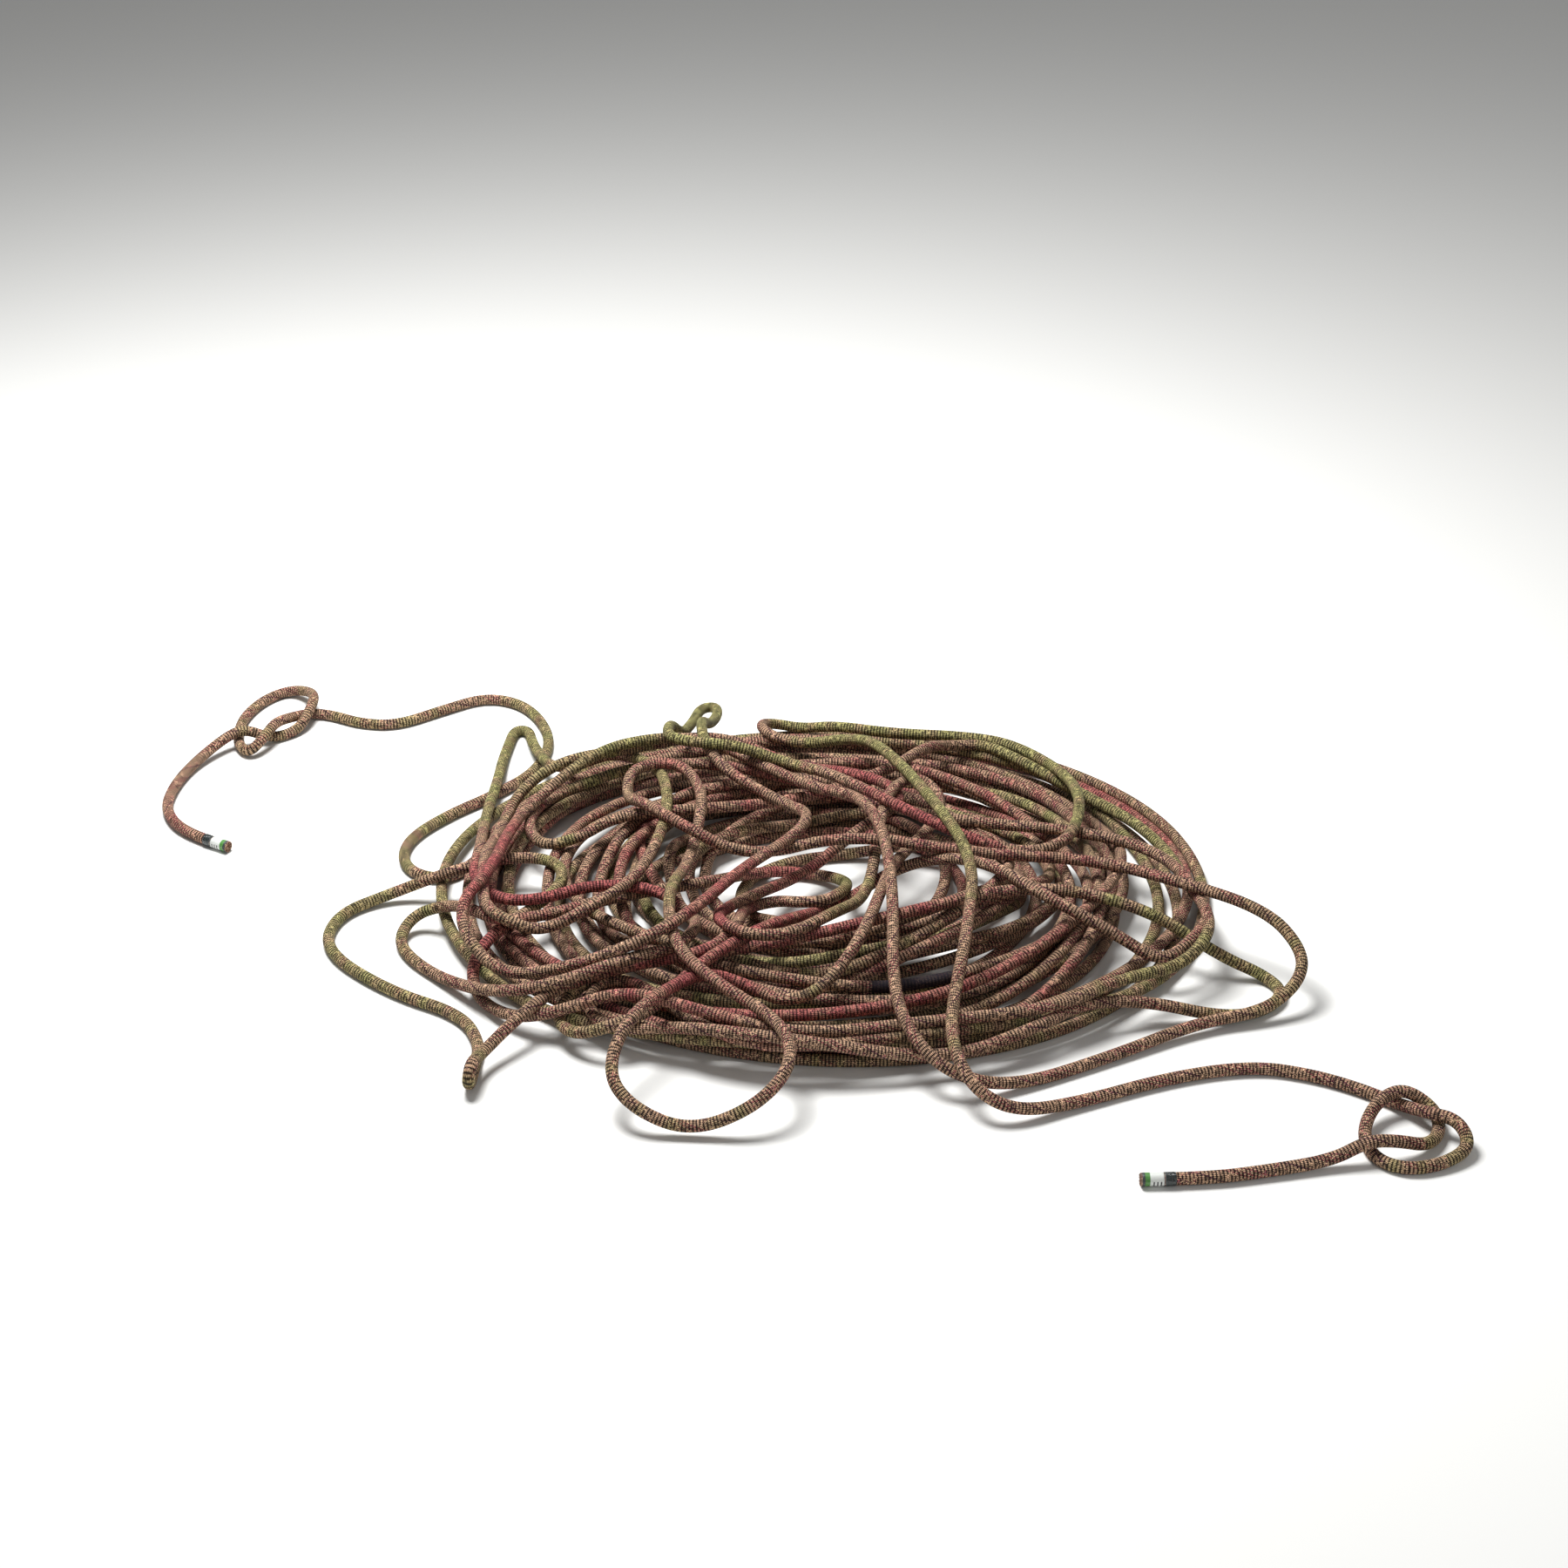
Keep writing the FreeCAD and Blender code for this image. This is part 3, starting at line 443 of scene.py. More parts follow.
def coil_route(rope):
    """Route points of the loose turns: they wind in and out again, and each one strays.

    Of the places that it could stray to, a turn takes one where less rope lies already.
    """
    rng = random.Random(rope.seed)
    turns = rope.coil_turns
    width = smooth_noise(rng, int(turns * WIDTH_RATE) + 1)
    along, across = [smooth_noise(rng, int(turns * DRIFT_RATE) + 1) for _ in range(2)]
    tint = smooth_noise(rng, int(turns * DYE_RATE) + 1)
    cover = Cover()
    points, dyes, slid = [], [], 0.0
    count = int(turns * rope.coil_points)
    for k in range(count):
        turn = (k + 0.5) / rope.coil_points
        inward = 1 - abs(turn - turns / 2) / (turns / 2)
        share = 1 - (1 - rope.coil_inner_share) * inward
        eased = min(1, 2 * turn, 2 * (turns - turn))
        share += eased * rope.looseness * width(turn * WIDTH_RATE)
        angle = math.radians(COIL_START_ANGLE) + 2 * math.pi * turn
        stray = eased * rope.drift * (DRIFT_SHARE - share)
        x = COIL_CENTRE[0] + stray * along(turn * DRIFT_RATE)
        y = COIL_CENTRE[1] + stray * across(turn * DRIFT_RATE)

        def place(slide):
            reach = min(WIDEST_SHARE, share + eased * slide)
            return (x - rope.coil_half_length * reach * math.cos(angle),
                    y + rope.coil_half_width * reach * math.sin(angle))

        def cost(slide):
            if not points:
                return abs(slide)
            strain = CHANGE_COST * ((slide - slid) / SLIDE_STEP) ** 2
            strain += SLIDE_COST * (slide / SLIDE_MOST) ** 2
            return cover.over(points[-1], place(slide)) + strain

        slides = [SLIDE_STEP * j for j in range(-SLIDE_STEPS, SLIDE_STEPS + 1)]
        slid = min(slides, key=cost)
        if points:
            cover.add(points[-1], place(slid))
        points.append(place(slid))
        dyes.append(COIL_DYE * tint(turn * DYE_RATE))
    return points, dyes


class Pile:
    """What already lies in the heap, as points on the rope's centre line."""

    def __init__(self, diameter, gap):
        self.diameter = diameter
        self.reach = diameter + gap
        self.own_length = OWN_DIAMETERS * diameter
        self.cells = {}

    def add(self, point, length):
        cell = (int(point.x // self.reach), int(point.y // self.reach))
        self.cells.setdefault(cell, []).append((point.x, point.y, point.z, length))

    def height_over(self, x, y, length):
        """The lowest height for the centre line here, clear of all that lies below."""
        lowest = self.diameter / 2
        column, row = int(x // self.reach), int(y // self.reach)
        reach = self.reach ** 2
        for cell in [(column + i, row + j) for i in (-1, 0, 1) for j in (-1, 0, 1)]:
            for its_x, its_y, its_z, its_length in self.cells.get(cell, ()):
                apart = (its_x - x) ** 2 + (its_y - y) ** 2
                if apart < reach and its_length < length - self.own_length:
                    lowest = max(lowest, its_z + math.sqrt(reach - apart))
        return lowest


def weights(t):
    """Shares of three route points in the curve between the midpoints of their runs."""
    return (1 - t) ** 2 / 2, 0.5 + t - t * t, t * t / 2


def curve_point(points, i, t):
    before, here, after = weights(t)
    return points[i - 1] * before + points[i] * here + points[i + 1] * after


def flat_distance(a, b):
    return math.hypot(a.x - b.x, a.y - b.y)


def runs_meet(a, b, c, d, reach):
    """Whether two runs cross, or come within reach, seen from above."""
    def side(p, q, r):
        return (q.x - p.x) * (r.y - p.y) - (q.y - p.y) * (r.x - p.x)

    def apart(p, q, r):
        along = (p.x - q.x) * (r.x - q.x) + (p.y - q.y) * (r.y - q.y)
        share = min(1, max(0, along / max(flat_distance(q, r) ** 2, 1e-12)))
        return flat_distance(p, q + (r - q) * share)

    if side(a, b, c) * side(a, b, d) < 0 and side(c, d, a) * side(c, d, b) < 0:
        return True
    return min(apart(a, c, d), apart(b, c, d), apart(c, a, b), apart(d, a, b)) < reach


class Route:
    """The rope's route: its points get their heights as it is laid on the pile."""

    def __init__(self, points, rope):
        self.pile = Pile(rope.diameter, rope.crossing_gap)
        self.slope = rope.steepest_slope
        self.radius = rope.diameter / 2
        self.fixed = [len(p) > 2 for p in points]
        self.points = [self.place(p) for p in points]
        self.lengths = [0.0, 0.0]
        for i in range(1, len(points) - 1):
            self.lengths.append(self.lengths[-1] + self.piece_length(i))

    def place(self, point):
        lift = point[2] if len(point) > 2 else 0
        return Vector((point[0], point[1], self.radius + lift * self.pile.diameter))

    def piece_length(self, i):
        before, here, after = self.points[i - 1:i + 2]
        return (flat_distance(before, here) + flat_distance(here, after)) / 2

    def window_end(self, done, first):
        """How far the next points may be settled before the route crosses itself."""
        end = first
        points = self.points
        while end + 1 < len(points) and end - first <= LOOK_AHEAD:
            for k in range(done, end - 3):
                far = self.lengths[end] - self.lengths[k] > NEAR_OWN * self.pile.own_length
                if far and runs_meet(points[k], points[k + 1], points[end], points[end + 1],
                                     NEAR_REACH * self.pile.reach):
                    return end, k
            end += 1
        return end, None

    def samples(self, i):
        """Places along one piece of the curve, each with its length along the route."""
        run = self.piece_length(i)
        count = max(3, int(run / LAY_STEP))
        for k in range(count):
            t = (k + 0.5) / count
            yield t, curve_point(self.points, i, t), self.lengths[i] + run * t

    def needs(self, done, end):
        """Heights that the curve needs at its sample points, listed by route point."""
        found = {}
        for i in range(done, min(end, len(self.points) - 1)):
            for t, here, length in self.samples(i):
                need = self.pile.height_over(here.x, here.y, length)
                shares = weights(t)
                for j, share in enumerate(shares):
                    if share > LEAST_SHARE:
                        found.setdefault(i - 1 + j, []).append((i, j, shares, need))
        return found

    def beside(self, i, j):
        """The height at point i that the steepest slope allows from point j."""
        return self.points[j].z - self.slope * flat_distance(self.points[i], self.points[j])

    def settle(self, first, end, found):
        """Raise the free points clear of the pile, then let them down as far as they go."""
        points = self.points
        free = [i for i in range(first, end + 1) if not self.fixed[i]]
        for i in free:
            points[i].z = max([self.radius] + [entry[3] for entry in found.get(i, ())])
        for i in free:
            points[i].z = max(points[i].z, self.beside(i, i - 1))
        for i in reversed(free):
            if i < end:
                points[i].z = max(points[i].z, self.beside(i, i + 1))
        for _ in range(SWEEPS):
            for i in free:
                self.let_down(i, end, found)

    def let_down(self, i, end, found):
        """Move one point half of the way down to where it would rest."""
        points = self.points
        lowest = max(self.radius, self.beside(i, i - 1))
        if i < end:
            lowest = max(lowest, self.beside(i, i + 1))
        for piece, j, shares, need in found.get(i, ()):
            if shares[j] > MOVING_SHARE:
                rest = sum(shares[k] * points[piece - 1 + k].z for k in range(3) if k != j)
                lowest = max(lowest, (need - rest) / shares[j])
        if lowest < points[i].z:
            points[i].z -= 0.5 * (points[i].z - lowest)

    def lay(self):
        last = len(self.points) - 1
        done, first = 1, 2
        while done < last:
            end, crossed = self.window_end(done, first)
            self.settle(first, end, self.needs(done, end))
            keep = last
            if end < last:
                keep = max(end - UNSETTLED, first)
                if crossed is not None:
                    keep = max(keep, min(crossed + 2, end))
            for i in range(done, keep):
                for _, here, length in self.samples(i):
                    self.pile.add(here, length)
            done, first = keep, keep + 1
        return self.points


def dye_of(stretch, index):
    for first, last, dye in DYES.get(stretch, []):
        if first <= index <= last:
            return dye
    return 0.0


def whole_route(rope):
    """Every route point with its dye, and where each stretch of the route begins."""
    coil, coil_dyes = coil_route(rope)
    stretches = {"left_tail": LEFT_TAIL, "left_knot": LEFT_KNOT, "left_lead": LEFT_LEAD,
                 "heap_coil": coil, **LOOPS, "right_knot": RIGHT_KNOT, "right_tail": RIGHT_TAIL}
    points, dyes, starts = [], [], {}
    for name, stretch in stretches.items():
        starts[name] = len(points)
        points += stretch
        dyes += [dye_of(name, i) for i in range(len(stretch))]
    first = starts["heap_coil"]
    dyes[first:first + len(coil_dyes)] = coil_dyes
    return points, dyes, starts


def route_object(points, dyes):
    """The rope's NURBS curve; the radius of its points carries the dye."""
    curve = bpy.data.curves.new("rope_route", "CURVE")
    curve.dimensions = "3D"
    curve.resolution_u = SPLINE_RESOLUTION
    spline = curve.splines.new("NURBS")
    spline.points.add(len(points) - 1)
    for point, place, dye in zip(spline.points, points, dyes):
        point.co = (*place, 1)
        point.radius = 1 + dye
    spline.order_u = 3
    spline.use_endpoint_u = True
    return link(bpy.data.objects.new("rope_route", curve))


def piece_starts(starts):
    """The first route point of each mesh."""
    coil = (starts["heap_coil"], starts["front_left_bend"])
    firsts, coil_part = [], 0
    for _, stretches, _, _ in PIECES:
        first = starts[stretches[0]]
        if stretches == ["heap_coil"]:
            first += (coil[1] - coil[0]) * coil_part // COIL_PIECES
            coil_part += 1
        firsts.append(first)
    return firsts


def piece_lines(line, firsts, count):
    """The centre line of each mesh: the whole one, parted before each mesh's first point."""
    steps = (len(line) - 1) / (count - 2)
    cuts = [0] + [round((first - 1) * steps) for first in firsts[1:]] + [len(line) - 1]
    return [line[a:b + 1] for a, b in zip(cuts, cuts[1:])]


def link(obj):
    bpy.context.scene.collection.objects.link(obj)
    return obj


def centre_line(route):
    """Points along a route's NURBS spline."""
    mesh = bpy.data.meshes.new_from_object(route)
    points = [vertex.co.copy() for vertex in mesh.vertices]
    bpy.data.meshes.remove(mesh)
    return points


def path_length(points):
    return sum((b - a).length for a, b in zip(points, points[1:]))


class Nodes:
    """Adds nodes to a tree, with their settings and inputs."""

    def __init__(self, tree):
        self.tree = tree

    def add(self, kind, inputs=None, **settings):
        node = self.tree.nodes.new(kind)
        for name, value in settings.items():
            setattr(node, name, value)
        for name, value in (inputs or {}).items():
            self.feed(node.inputs[name], value)
        return node

    def feed(self, socket, value):
        if isinstance(value, bpy.types.NodeSocket):
            self.tree.links.new(value, socket)
        elif isinstance(value, bpy.types.Node):
            self.tree.links.new(value.outputs[0], socket)
        elif value is not None:
            socket.default_value = value

    def math(self, operation, *values):
        node = self.add("ShaderNodeMath", operation=operation)
        for socket, value in zip(node.inputs, values):
            self.feed(socket, value)
        return node.outputs[0]

    def mix(self, share, a, b, blend="MIX"):
        node = self.add("ShaderNodeMix", data_type="RGBA", blend_type=blend)
        self.feed(node.inputs["Factor"], share)
        colours = [socket for socket in node.inputs if socket.type == "RGBA"]
        self.feed(colours[0], a)
        self.feed(colours[1], b)
        return [socket for socket in node.outputs if socket.type == "RGBA"][0]

    def smooth(self, value, low, high):
        """0 below low, 1 above high, and a smooth step between."""
        node = self.add("ShaderNodeMapRange", interpolation_type="SMOOTHSTEP")
        for name, amount in (("Value", value), ("From Min", low), ("From Max", high)):
            self.feed(node.inputs[name], amount)
        return node.outputs[0]


def interface(tree, inputs, outputs):
    """Give a node group its named sockets; returns its input node and output node."""
    for name, kind, default in inputs:
        socket = tree.interface.new_socket(name, in_out="INPUT", socket_type=kind)
        if default is not None:
            socket.default_value = default
    for name, kind in outputs:
        tree.interface.new_socket(name, in_out="OUTPUT", socket_type=kind)
    return tree.nodes.new("NodeGroupInput"), tree.nodes.new("NodeGroupOutput")


def swept_rope_group():
    """Geometry nodes that sweep a round tube along a curve, with where each point lies on it."""
    tree = bpy.data.node_groups.new("Swept rope", "GeometryNodeTree")
    given, made = interface(tree, [
        ("Curve", "NodeSocketGeometry", None), ("Diameter", "NodeSocketFloat", 0.01),
        ("Ring step", "NodeSocketFloat", 0.0032), ("Sides", "NodeSocketInt", 20),
        ("From length", "NodeSocketFloat", 0.0), ("To length", "NodeSocketFloat", 1.0),
        ("Material", "NodeSocketMaterial", None),
    ], [("Mesh", "NodeSocketGeometry")])
    nodes = Nodes(tree)

    def store(geometry, name, value, kind="FLOAT"):
        return nodes.add("GeometryNodeStoreNamedAttribute",
                         {"Geometry": geometry, "Name": name, "Value": value},
                         data_type=kind, domain="POINT")

    share = nodes.add("GeometryNodeTrimCurve", {"Curve": given.outputs["Curve"]}, mode="LENGTH")
    bounds = {socket.identifier: socket for socket in share.inputs}
    tree.links.new(given.outputs["From length"], bounds["Start_001"])
    tree.links.new(given.outputs["To length"], bounds["End_001"])
    resampled = nodes.add("GeometryNodeResampleCurve", {
        "Curve": share, "Length": given.outputs["Ring step"]}, mode="LENGTH")
    dye = nodes.math("SUBTRACT", nodes.add("GeometryNodeInputRadius").outputs[0], 1.0)
    length = nodes.add("GeometryNodeSplineParameter").outputs["Length"]
    along = nodes.math("ADD", length, given.outputs["From length"])
    path = store(store(resampled, "dye", dye), "along", along)
    path = nodes.add("GeometryNodeSetCurveRadius", {"Curve": path, "Radius": 1.0})
    radius = nodes.math("DIVIDE", given.outputs["Diameter"], 2.0)
    circle = nodes.add("GeometryNodeCurvePrimitiveCircle", {
        "Resolution": given.outputs["Sides"], "Radius": radius}, mode="RADIUS")
    place = nodes.add("GeometryNodeInputPosition")
    profile = store(circle, "around", place, "FLOAT_VECTOR")
    tube = nodes.add("GeometryNodeCurveToMesh", {
        "Curve": path, "Profile Curve": profile, "Fill Caps": True})
    shaded = nodes.add("GeometryNodeSetShadeSmooth", {"Geometry": tube, "Shade Smooth": True})
    real = nodes.add("GeometryNodeRealizeInstances", {"Geometry": shaded})
    coated = nodes.add("GeometryNodeSetMaterial", {
        "Geometry": real, "Material": given.outputs["Material"]})
    tree.links.new(coated.outputs[0], made.inputs["Mesh"])
    return tree


def plain_mesh(obj, group, values):
    """The object's shape after a geometry nodes group, as a mesh with no modifier."""
    modifier = obj.modifiers.new(group.name, "NODES")
    modifier.node_group = group
    for item in group.interface.items_tree:
        if item.in_out == "INPUT" and item.name in values:
            modifier[item.identifier] = values[item.name]
    shape = obj.evaluated_get(bpy.context.evaluated_depsgraph_get())
    mesh = bpy.data.meshes.new_from_object(shape)
    obj.modifiers.remove(modifier)
    return mesh


def new_material(name):
    material = bpy.data.materials.new(name)
    material.use_nodes = True
    nodes = Nodes(material.node_tree)
    surface = material.node_tree.nodes["Principled BSDF"]
    return material, nodes, surface


def fibre_group():
    """Fine filaments that run along the yarn: a value near 1 that darkens and lightens it."""
    tree = bpy.data.node_groups.new("Fibre lines", "ShaderNodeTree")
    given, made = interface(tree, [
        ("Along", "NodeSocketFloat", 0.0), ("Across", "NodeSocketFloat", 0.0),
        ("Strength", "NodeSocketFloat", 0.3)], [("Value", "NodeSocketFloat")])
    nodes = Nodes(tree)
    place = nodes.add("ShaderNodeCombineXYZ", {
        "X": nodes.math("MULTIPLY", given.outputs["Along"], 0.6),
        "Y": nodes.math("MULTIPLY", given.outputs["Across"], 7.0)})
    noise = nodes.add("ShaderNodeTexNoise", {"Vector": place, "Scale": 1.0, "Detail": 2.0},
                      noise_dimensions="2D")
    spread = nodes.math("SUBTRACT", noise.outputs[0], 0.5)
    value = nodes.math("MULTIPLY_ADD", spread, given.outputs["Strength"], 1.0)
    tree.links.new(value, made.inputs["Value"])
    return tree


def braid(nodes, along, around):
    """A plain braid of two sets of yarns: which yarn is on top, where on it, and its height."""
    parts = nodes.add("ShaderNodeSeparateXYZ", {"Vector": around})
    angle = nodes.math("ARCTAN2", parts.outputs["Y"], parts.outputs["X"])
    turn = nodes.math("MULTIPLY", angle, BRAID_CARRIERS / (2 * math.pi))
    row = nodes.math("DIVIDE", along, STITCH_LENGTH)
    right, left = nodes.math("ADD", row, turn), nodes.math("SUBTRACT", row, turn)
    cells = [nodes.math("FLOOR", way) for way in (right, left)]
    shares = [nodes.math("FRACT", way) for way in (right, left)]
    top = nodes.math("PINGPONG", nodes.math("ADD", *cells), 1.0)
    top = nodes.math("ROUND", top)
    yarns = [nodes.math("FLOORED_MODULO", cell, float(BRAID_CARRIERS)) for cell in cells]

    def chosen(a, b):
        difference = nodes.math("SUBTRACT", b, a)
        return nodes.math("MULTIPLY_ADD", difference, top, a)

    yarn = chosen(yarns[0], nodes.math("ADD", yarns[1], 100.0))
    across = chosen(*shares)
    lengthwise = chosen(shares[1], shares[0])
    crown = nodes.math("SINE", nodes.math("MULTIPLY", across, math.pi))
    stitch = nodes.math("SINE", nodes.math("MULTIPLY", lengthwise, math.pi))
    height = nodes.math("MULTIPLY", nodes.math("POWER", crown, 0.6),
                        nodes.math("POWER", stitch, 0.5))
    return top, yarn, lengthwise, across, height


def ramp(nodes, value, stops):
    """A colour ramp with flat steps."""
    node = nodes.add("ShaderNodeValToRGB", {"Fac": value})
    band = node.color_ramp
    band.interpolation = "CONSTANT"
    band.elements[0].position, band.elements[0].color = stops[0]
    band.elements[1].position, band.elements[1].color = stops[1]
    for place, colour in stops[2:]:
        band.elements.new(place).color = colour
    return node.outputs["Color"]


def sheath_material(fibres, mark_place, mark_half):
    """Braided polyamide: dark yarns one way, light ones the other, dyed along the rope."""
    material, nodes, surface = new_material("sheath_braid")

    def attribute(name, output="Fac"):
        return nodes.add("ShaderNodeAttribute", attribute_name=name).outputs[output]

    along, dye = attribute("along"), attribute("dye")
    top, yarn, lengthwise, across, height = braid(nodes, along, attribute("around", "Vector"))
    pick = nodes.add("ShaderNodeTexWhiteNoise", {"W": yarn}, noise_dimensions="1D").outputs[0]
    light = ramp(nodes, pick, [(0.0, SAND), (0.42, MAUVE), (0.62, ROSE), (0.8, SAND)])
    dark = ramp(nodes, pick, [(0.0, COCOA), (0.45, PLUM), (0.75, UMBER)])
    patch = nodes.add("ShaderNodeTexNoise", {
        "W": along, "Scale": DYE_PATCH_SCALE, "Detail": 1.0},
                      noise_dimensions="1D").outputs[0]
    parts = nodes.add("ShaderNodeSeparateXYZ", {"Vector": attribute("around", "Vector")})
    place = nodes.add("ShaderNodeCombineXYZ", {
        "X": nodes.math("MULTIPLY", parts.outputs["X"], 0.5),
        "Y": nodes.math("MULTIPLY", parts.outputs["Y"], 0.5), "Z": along})
    clump = nodes.add("ShaderNodeTexNoise", {
        "Vector": place, "Scale": FLECK_SCALE, "Detail": 2.0, "Roughness": 0.6}).outputs[0]
    fleck = nodes.math("GREATER_THAN", clump, FLECK_LEVEL)
    stray = nodes.math("MULTIPLY_ADD", patch, DYE_PATCH_STRENGTH, -DYE_PATCH_STRENGTH / 2)
    dye = nodes.math("ADD", dye, stray)
    green = nodes.smooth(nodes.math("MULTIPLY", dye, -1.0), *GREEN_DYE)
    pink = nodes.smooth(dye, *PINK_DYE)
    light = nodes.mix(nodes.math("MULTIPLY", green, 0.8), light, OLIVE)
    light = nodes.mix(nodes.math("MULTIPLY", pink, 0.85), light, CORAL)
    dark = nodes.mix(nodes.math("MULTIPLY", green, 0.6), dark, MOSS)
    dark = nodes.mix(nodes.math("MULTIPLY", pink, 0.6), dark, WINE)
    colour = nodes.mix(nodes.math("ABSOLUTE", nodes.math("SUBTRACT", top, fleck)), dark, light)
    worn = nodes.add("ShaderNodeMapRange", {
        "Value": clump, "From Min": 0.3, "From Max": 0.7, "To Min": WORN_RANGE[0],
        "To Max": WORN_RANGE[1]})
    colour = nodes.mix(1.0, colour, worn, "MULTIPLY")
    filament = nodes.add("ShaderNodeGroup", node_tree=fibres)
    nodes.feed(filament.inputs["Along"], lengthwise)
    nodes.feed(filament.inputs["Across"], nodes.math("ADD", across, yarn))
    nodes.feed(filament.inputs["Strength"], 0.7)
    # Painted shade: the colour is darkened where the braid's height is low, in the gaps between
    # the yarns and at the stitch ends, on top of the bump; the fibre lines mixed in are the
    # yarn's own tone
    fibre_and_painted_shade = nodes.math("MULTIPLY", filament.outputs[0], nodes.smooth(height, 0.0, 0.7))
    fibre_and_painted_shade = nodes.math("MULTIPLY_ADD", fibre_and_painted_shade, 0.85, 0.15)
    colour = nodes.mix(1.0, colour, fibre_and_painted_shade, "MULTIPLY")
    from_mark = nodes.math("ABSOLUTE", nodes.math("SUBTRACT", along, mark_place))
    marked = nodes.smooth(from_mark, mark_half + 0.004, mark_half - 0.002)
    colour = nodes.mix(nodes.math("MULTIPLY", marked, 0.93), colour, INK)
    bump = nodes.add("ShaderNodeBump", {"Height": height, "Strength": 0.55, "Distance": 0.0005})
    nodes.feed(surface.inputs["Base Color"], colour)
    nodes.feed(surface.inputs["Normal"], bump)
    surface.inputs["Roughness"].default_value = 0.72
    surface.inputs["Specular IOR Level"].default_value = 0.15
    return material


class ROPE_OT_rope(bpy.types.Operator):
    """Lay the rope on its heap and build its braided sheath"""

    bl_idname = "rope.rope"
    bl_label = "Rope"

    def execute(self, context):
        rope, ends = context.scene.rope, context.scene.rope_ends
        points, dyes, starts = whole_route(rope)
        route = Route(points, rope)
        sleeved = rope.diameter / 2 + ends.label_wall + ends.sleeve_clearance + ends.sleeve_wall
        tails = list(range(len(LEFT_TAIL))) + list(range(starts["right_tail"], len(points)))
        for i in tails:
            route.points[i].z = max(route.points[i].z, sleeved)
        laid = route.lay()
        curve = route_object(laid, dyes)
        line = centre_line(curve)
        lines = piece_lines(line, piece_starts(starts), len(laid))
        material = sheath_material(fibre_group(), mark_length(lines), MARK_HALF)
        group = swept_rope_group()
        start = 0.0
        for (name, stretches, far_end, lay), own in zip(PIECES, lines):
            length = path_length(own)
            mesh = plain_mesh(curve, group, {
                "Diameter": rope.diameter, "Ring step": rope.ring_step, "Sides": rope.sides,
                "From length": start, "To length": start + length, "Material": material})
            obj = link(bpy.data.objects.new(name, mesh))
            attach(obj, "root")
            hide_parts(*[s + part for s in stretches for part in ("_sheath", "_core")])
            print("%s %.2f m, top %.1f mm, %d faces" % (
                name, length, 1000 * max(p.z for p in own), len(mesh.polygons)))
            start += length
        curve.hide_render = True
        return {"FINISHED"}


def mark_length(lines):
    """How far along the rope its middle mark lies: on top of the coil, over a place in front."""
    length, best = 0.0, (math.inf, 0.0)
    for (name, _, _, _), points in zip(PIECES, lines):
        for a, b in zip(points, points[1:]):
            if "coil" in name:
                level = abs((b - a).normalized().y)
                miss = (a.xy - MARK_NEAR).length + 0.02 * level - 0.5 * a.z
                best = min(best, (miss, length))
            length += (b - a).length
    return best[1]


def swept_profile(name, line, profile, sides, material):
    """A closed profile of (along, radius) turned about a line."""
    frames = []
    for along, radius in profile:
        centre, direction = walk(line, along)
        across = direction.cross(Vector((0, 0, 1))).normalized()
        frames.append((centre, across, across.cross(direction), radius))
    vertices, faces, rows = [], [], len(frames)
    for centre, across, up, radius in frames:
        for k in range(sides):
            angle = 2 * math.pi * k / sides
            vertices.append(centre + (across * math.cos(angle) + up * math.sin(angle)) * radius)
    for i in range(rows):
        for k in range(sides):
            a, b = i * sides + k, i * sides + (k + 1) % sides
            c, d = (i + 1) % rows * sides + (k + 1) % sides, (i + 1) % rows * sides + k
            faces.append((a, b, c, d))
    mesh = bpy.data.meshes.new(name)
    mesh.from_pydata(vertices, [], faces)
    mesh.shade_smooth()
    mesh.materials.append(material)
    along_rope = mesh.attributes.new("along", "FLOAT", "POINT")
    around = mesh.attributes.new("around", "FLOAT_VECTOR", "POINT")
    for i, (along, radius) in enumerate(profile):
        for k in range(sides):
            angle = 2 * math.pi * k / sides
            along_rope.data[i * sides + k].value = along
            around.data[i * sides + k].vector = (math.cos(angle), math.sin(angle), 0)
    outward(mesh)
    return link(bpy.data.objects.new(name, mesh))


def outward(mesh):
    """Turn the faces outward."""
    shape = bmesh.new()
    shape.from_mesh(mesh)
    bmesh.ops.recalc_face_normals(shape, faces=shape.faces)
    shape.to_mesh(mesh)
    shape.free()


def walk(line, length):
    """The place and direction at a length along a line; straight on before its start."""
    for a, b in zip(line, line[1:]):
        run = (b - a).length
        if length <= run:
            direction = (b - a) / run
            return a + direction * length, direction
        length -= run
    return line[-1], (line[-1] - line[-2]).normalized()


def spans(first, last, step=0.002):
    count = max(1, round((last - first) / step))
    return [first + (last - first) * k / count for k in range(count + 1)]


